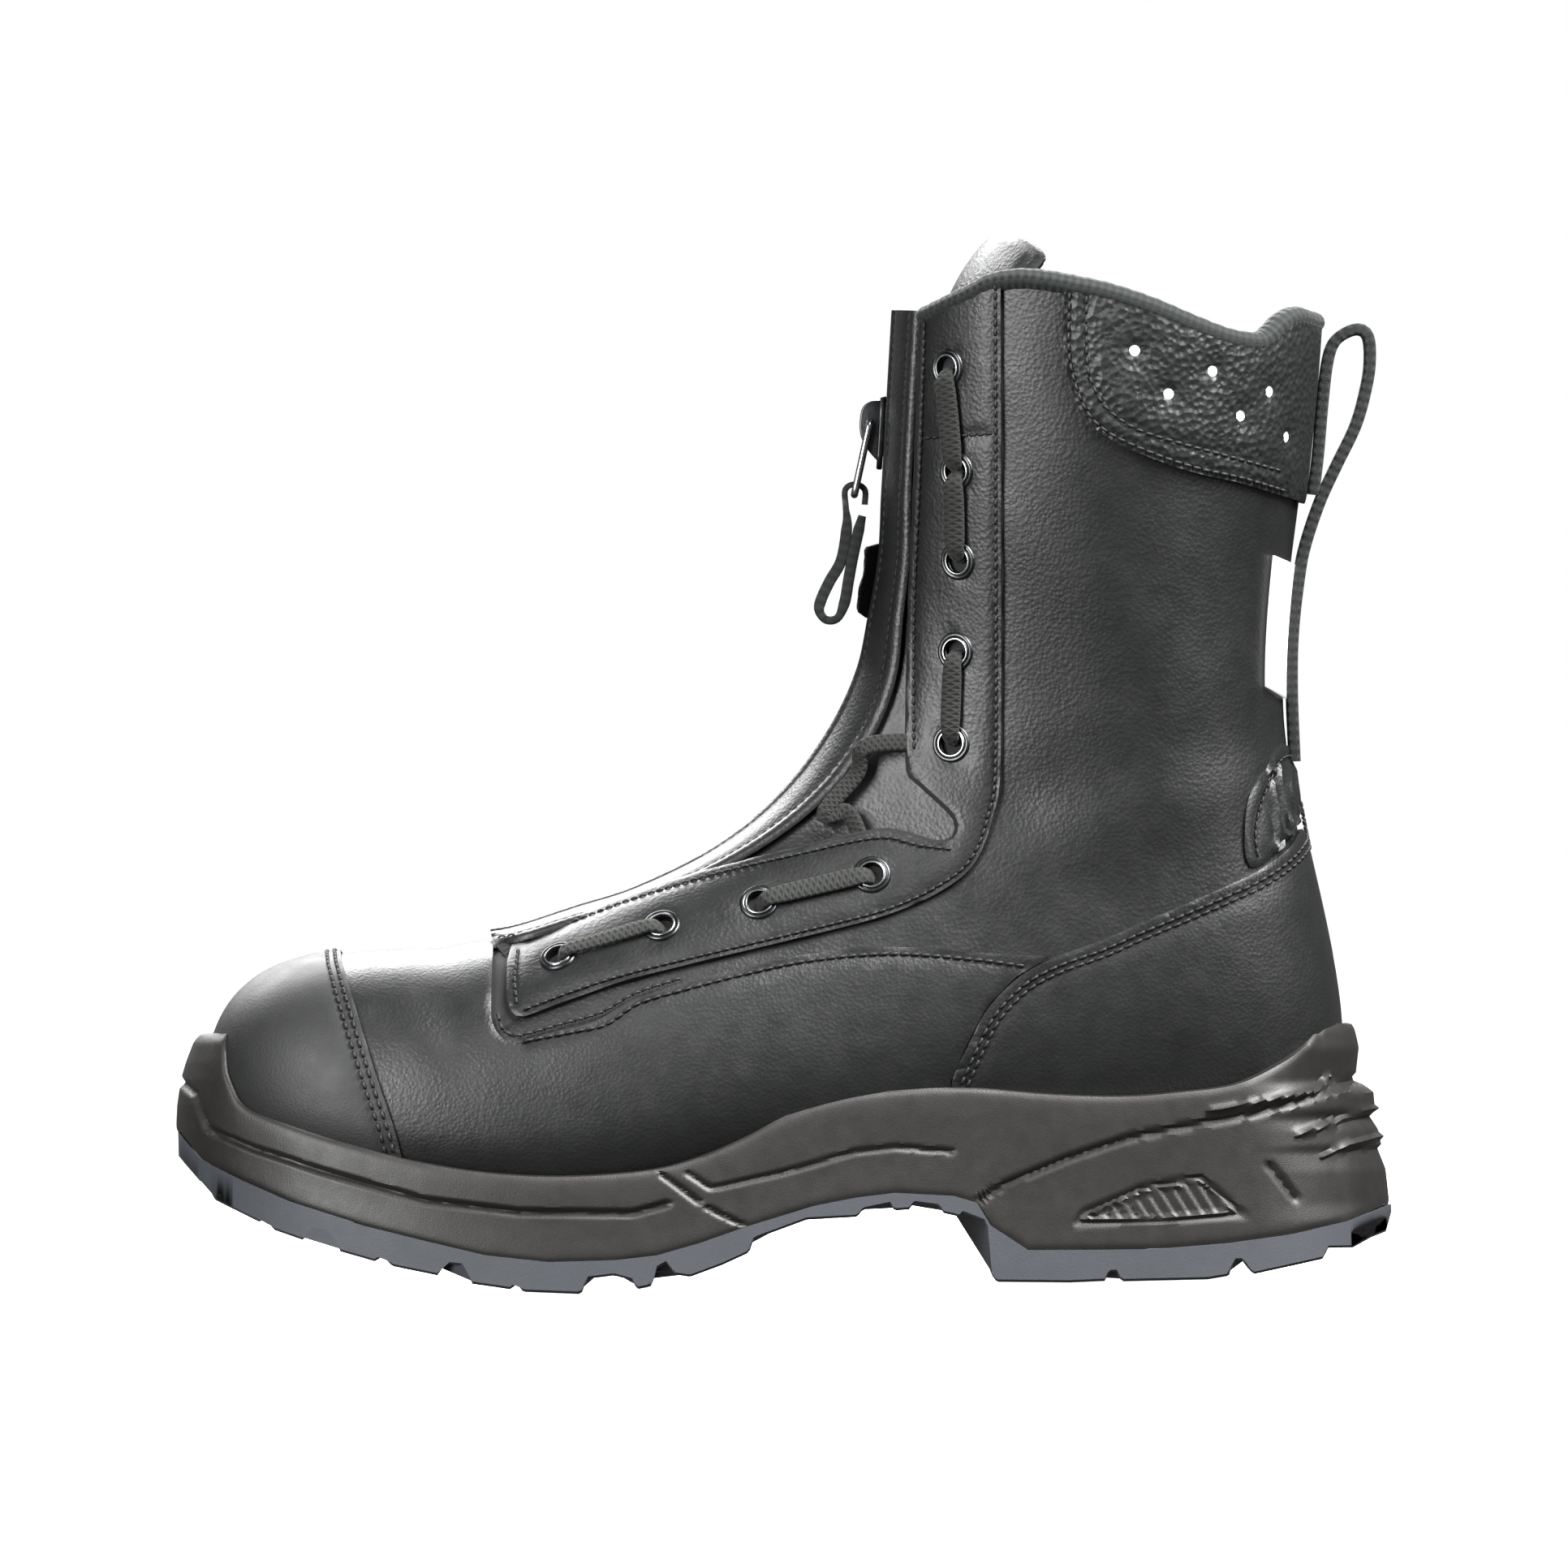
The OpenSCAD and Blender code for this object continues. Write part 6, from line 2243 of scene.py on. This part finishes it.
    @staticmethod
    def _held_in(points: Points) -> Points:
        """Points moved in until they lie under the lining's inner face.

        Args:
            points: the points.

        Returns:
            The points.
        """
        uv = Last.uv(points[:, [0, 2]], Side.INNER)
        uv[:, 1] = np.where(points[:, 1] >= 0, uv[:, 1], -uv[:, 1])
        limit = np.abs(Last.skin(uv, -6.8)[:, 1])
        over = (points[:, 2] < 256) & (np.abs(points[:, 1]) > limit)
        out = points.copy()
        out[over, 1] = np.sign(points[over, 1]) * limit[over]
        return out

    def lining(self) -> None:
        """Knitted inner sock, from the collar down to the toes."""
        line = rounded([(-64, 84), (-38, 88), (-12, 93), (12, 98), (27, 102), (38, 108), (45, 114), (50, 123),
                        (52.5, 136), (54, 196), (56, 254.5), (60, 256.5), (72, 256.8), (87, 253.4),
                        (98, 249.6),
                        (109, 244.8), (118, 241.2), (126, 240), (132, 243), (141, 246)], 2.5)
        inner = Last.uv(line, Side.INNER)
        u = np.concatenate([np.linspace(0.9, inner[0, 0], 28)[:-1],
                            np.linspace(inner[0, 0], inner[:, 0].max(), 150)])
        v0 = np.concatenate([np.zeros(27), np.interp(u[27:], *self._rising(inner))])
        f = np.linspace(0, 1, 90)
        vv = v0[:, None] + (360 - 2 * v0)[:, None] * f[None]
        uv = np.stack([np.repeat(u, 90), vv.ravel()], axis=1)
        verts = Last.skin(uv, -4.6)
        top = rounded(COLLAR, 1.5)
        cut = np.interp(verts[:, 0], top[:, 0], top[:, 1]) - 2.2
        faces = grid_quads(len(u), len(f))
        ok = (verts[faces][:, :, 2] < cut[faces] + 1.5).all(1)
        verts[:, 2] = np.minimum(verts[:, 2], cut)
        obj = new_object("lining_sock", verts, faces[ok])
        Panel._drop_loose(obj)
        self._face_outward(obj)
        apply_modifier(obj, "SOLIDIFY", thickness=1.5 * MM, offset=-1.0)
        smooth(obj, 60)
        settle(dress(obj, "lining_mesh"), stands_for=("lining",))

    @staticmethod
    def _rising(line: Points) -> tuple:
        """The part of a line of rows and angles whose rows only rise."""
        keep = [0]
        for i in range(1, len(line)):
            if line[i, 0] > line[keep[-1], 0] + 0.01:
                keep.append(i)
        return line[keep, 0], line[keep, 1]

    @staticmethod
    def _face_outward(obj: Piece) -> None:
        """Points an open sheet's faces away from the middle of the shaft."""
        total = 0.0
        for face in obj.data.polygons:
            c = face.center
            total += face.normal.y * c.y
        if total < 0:
            obj.data.flip_normals()


def dress_internals() -> None:
    """Finishes the CAD nodes that stay: the pieces built into the boot."""
    for node, finish in (("shank", "spring_steel"), ("insole_board", "board"), ("safety_toe", "spring_steel"),
                         ("heel_stiffener", "stiffener"), ("collar_foam", "foam")):
        dress(frame["nodes"][node], finish)
        LOG.info("%s: finished", node)


# ---------------------------------------------------------------- set
@dataclass(frozen=True)
class SoftBox:
    """A rectangular soft light, in metres and watts."""

    name: str
    at: tuple
    look: tuple
    size: tuple
    power: float


SOFT_BOXES = (
    SoftBox("top", (0.95, -0.6, 1.4), (0.03, 0.0, 0.1), (1.1, 0.9), 125.0),
    SoftBox("left", (-1.25, -1.5, 0.65), (-0.02, 0.0, 0.12), (0.8, 1.2), 58.0),
    SoftBox("right", (1.5, -1.3, 0.9), (0.05, 0.0, 0.1), (0.6, 0.7), 12.0),
    SoftBox("rim", (-0.35, 1.5, 1.35), (-0.02, 0.0, 0.1), (1.8, 0.9), 85.0),
)


@dataclass
class Studio:
    """Camera, lights, floor and surround."""

    aim: tuple = (2.0, 0.0, 129.1)
    distance: float = 8.0
    field: float = 0.403
    roll: float = 1.256
    floor_radius: float = 14.0
    fill: float = 0.13

    def build(self) -> None:
        """Makes the set."""
        self.camera()
        self.floor()
        for box in SOFT_BOXES:
            self.light(box)
        self.surround()
        bpy.context.scene.view_settings.view_transform = "Standard"

    def camera(self) -> None:
        """Level camera square to the boot's outer side."""
        data = bpy.data.cameras.new("camera")
        data.sensor_width = 36.0
        data.lens = data.sensor_width * self.distance / self.field
        data.clip_end = 60
        camera = bpy.data.objects.new("camera", data)
        bpy.context.scene.collection.objects.link(camera)
        target = Vector(self.aim) * MM
        camera.location = target + Vector((0, -self.distance, 0))
        turn = Matrix.Rotation(math.radians(90), 4, "X")
        camera.rotation_euler = (Matrix.Rotation(math.radians(self.roll), 4, "Y") @ turn).to_euler()
        bpy.context.scene.camera = camera

    def floor(self) -> None:
        """Plain pale round floor."""
        clear_selection()
        bpy.ops.mesh.primitive_circle_add(vertices=96, radius=self.floor_radius, fill_type="NGON",
                                          location=(0, 0, -0.0002))
        obj = bpy.context.object
        obj.name = "studio_floor"
        bpy.ops.object.transform_apply(location=True)
        dress(obj, "floor")
        obj.visible_diffuse = False
        obj.visible_glossy = False

    @staticmethod
    def light(box: SoftBox) -> None:
        """Hangs one soft box.

        Args:
            box: the light.
        """
        data = bpy.data.lights.new(box.name, "AREA")
        data.shape = "RECTANGLE"
        data.size, data.size_y = box.size
        data.energy = box.power
        lamp = bpy.data.objects.new(box.name, data)
        lamp.location = box.at
        lamp.rotation_euler = (Vector(box.look) - Vector(box.at)).to_track_quat("-Z", "Y").to_euler()
        bpy.context.scene.collection.objects.link(lamp)

    def surround(self) -> None:
        """White surround that lights the boot only dimly."""
        world = bpy.data.worlds.new("studio")
        world.use_nodes = True
        tree = world.node_tree
        dim = tree.nodes["Background"]
        dim.inputs["Color"].default_value = (1, 1, 1, 1)
        dim.inputs["Strength"].default_value = self.fill
        white = tree.nodes.new("ShaderNodeBackground")
        white.inputs["Color"].default_value = (1, 1, 1, 1)
        white.inputs["Strength"].default_value = 1.0
        path = tree.nodes.new("ShaderNodeLightPath")
        mix = tree.nodes.new("ShaderNodeMixShader")
        tree.links.new(path.outputs["Is Camera Ray"], mix.inputs[0])
        tree.links.new(dim.outputs[0], mix.inputs[1])
        tree.links.new(white.outputs[0], mix.inputs[2])
        tree.links.new(mix.outputs[0], tree.nodes["World Output"].inputs["Surface"])
        bpy.context.scene.world = world


def main() -> None:
    """Builds the boot's sub-assemblies in order, then the set."""
    logging.basicConfig(level=logging.INFO, format="%(message)s")
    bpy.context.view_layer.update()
    clear_selection()
    for part in (Studio(), Upper(), Sole(), ZipperInsert(), Slider(), Lacing(), Trim()):
        LOG.info("building %s", type(part).__name__)
        part.build()
    dress_internals()
    clear_selection()


if __name__ == "__main__":
    main()
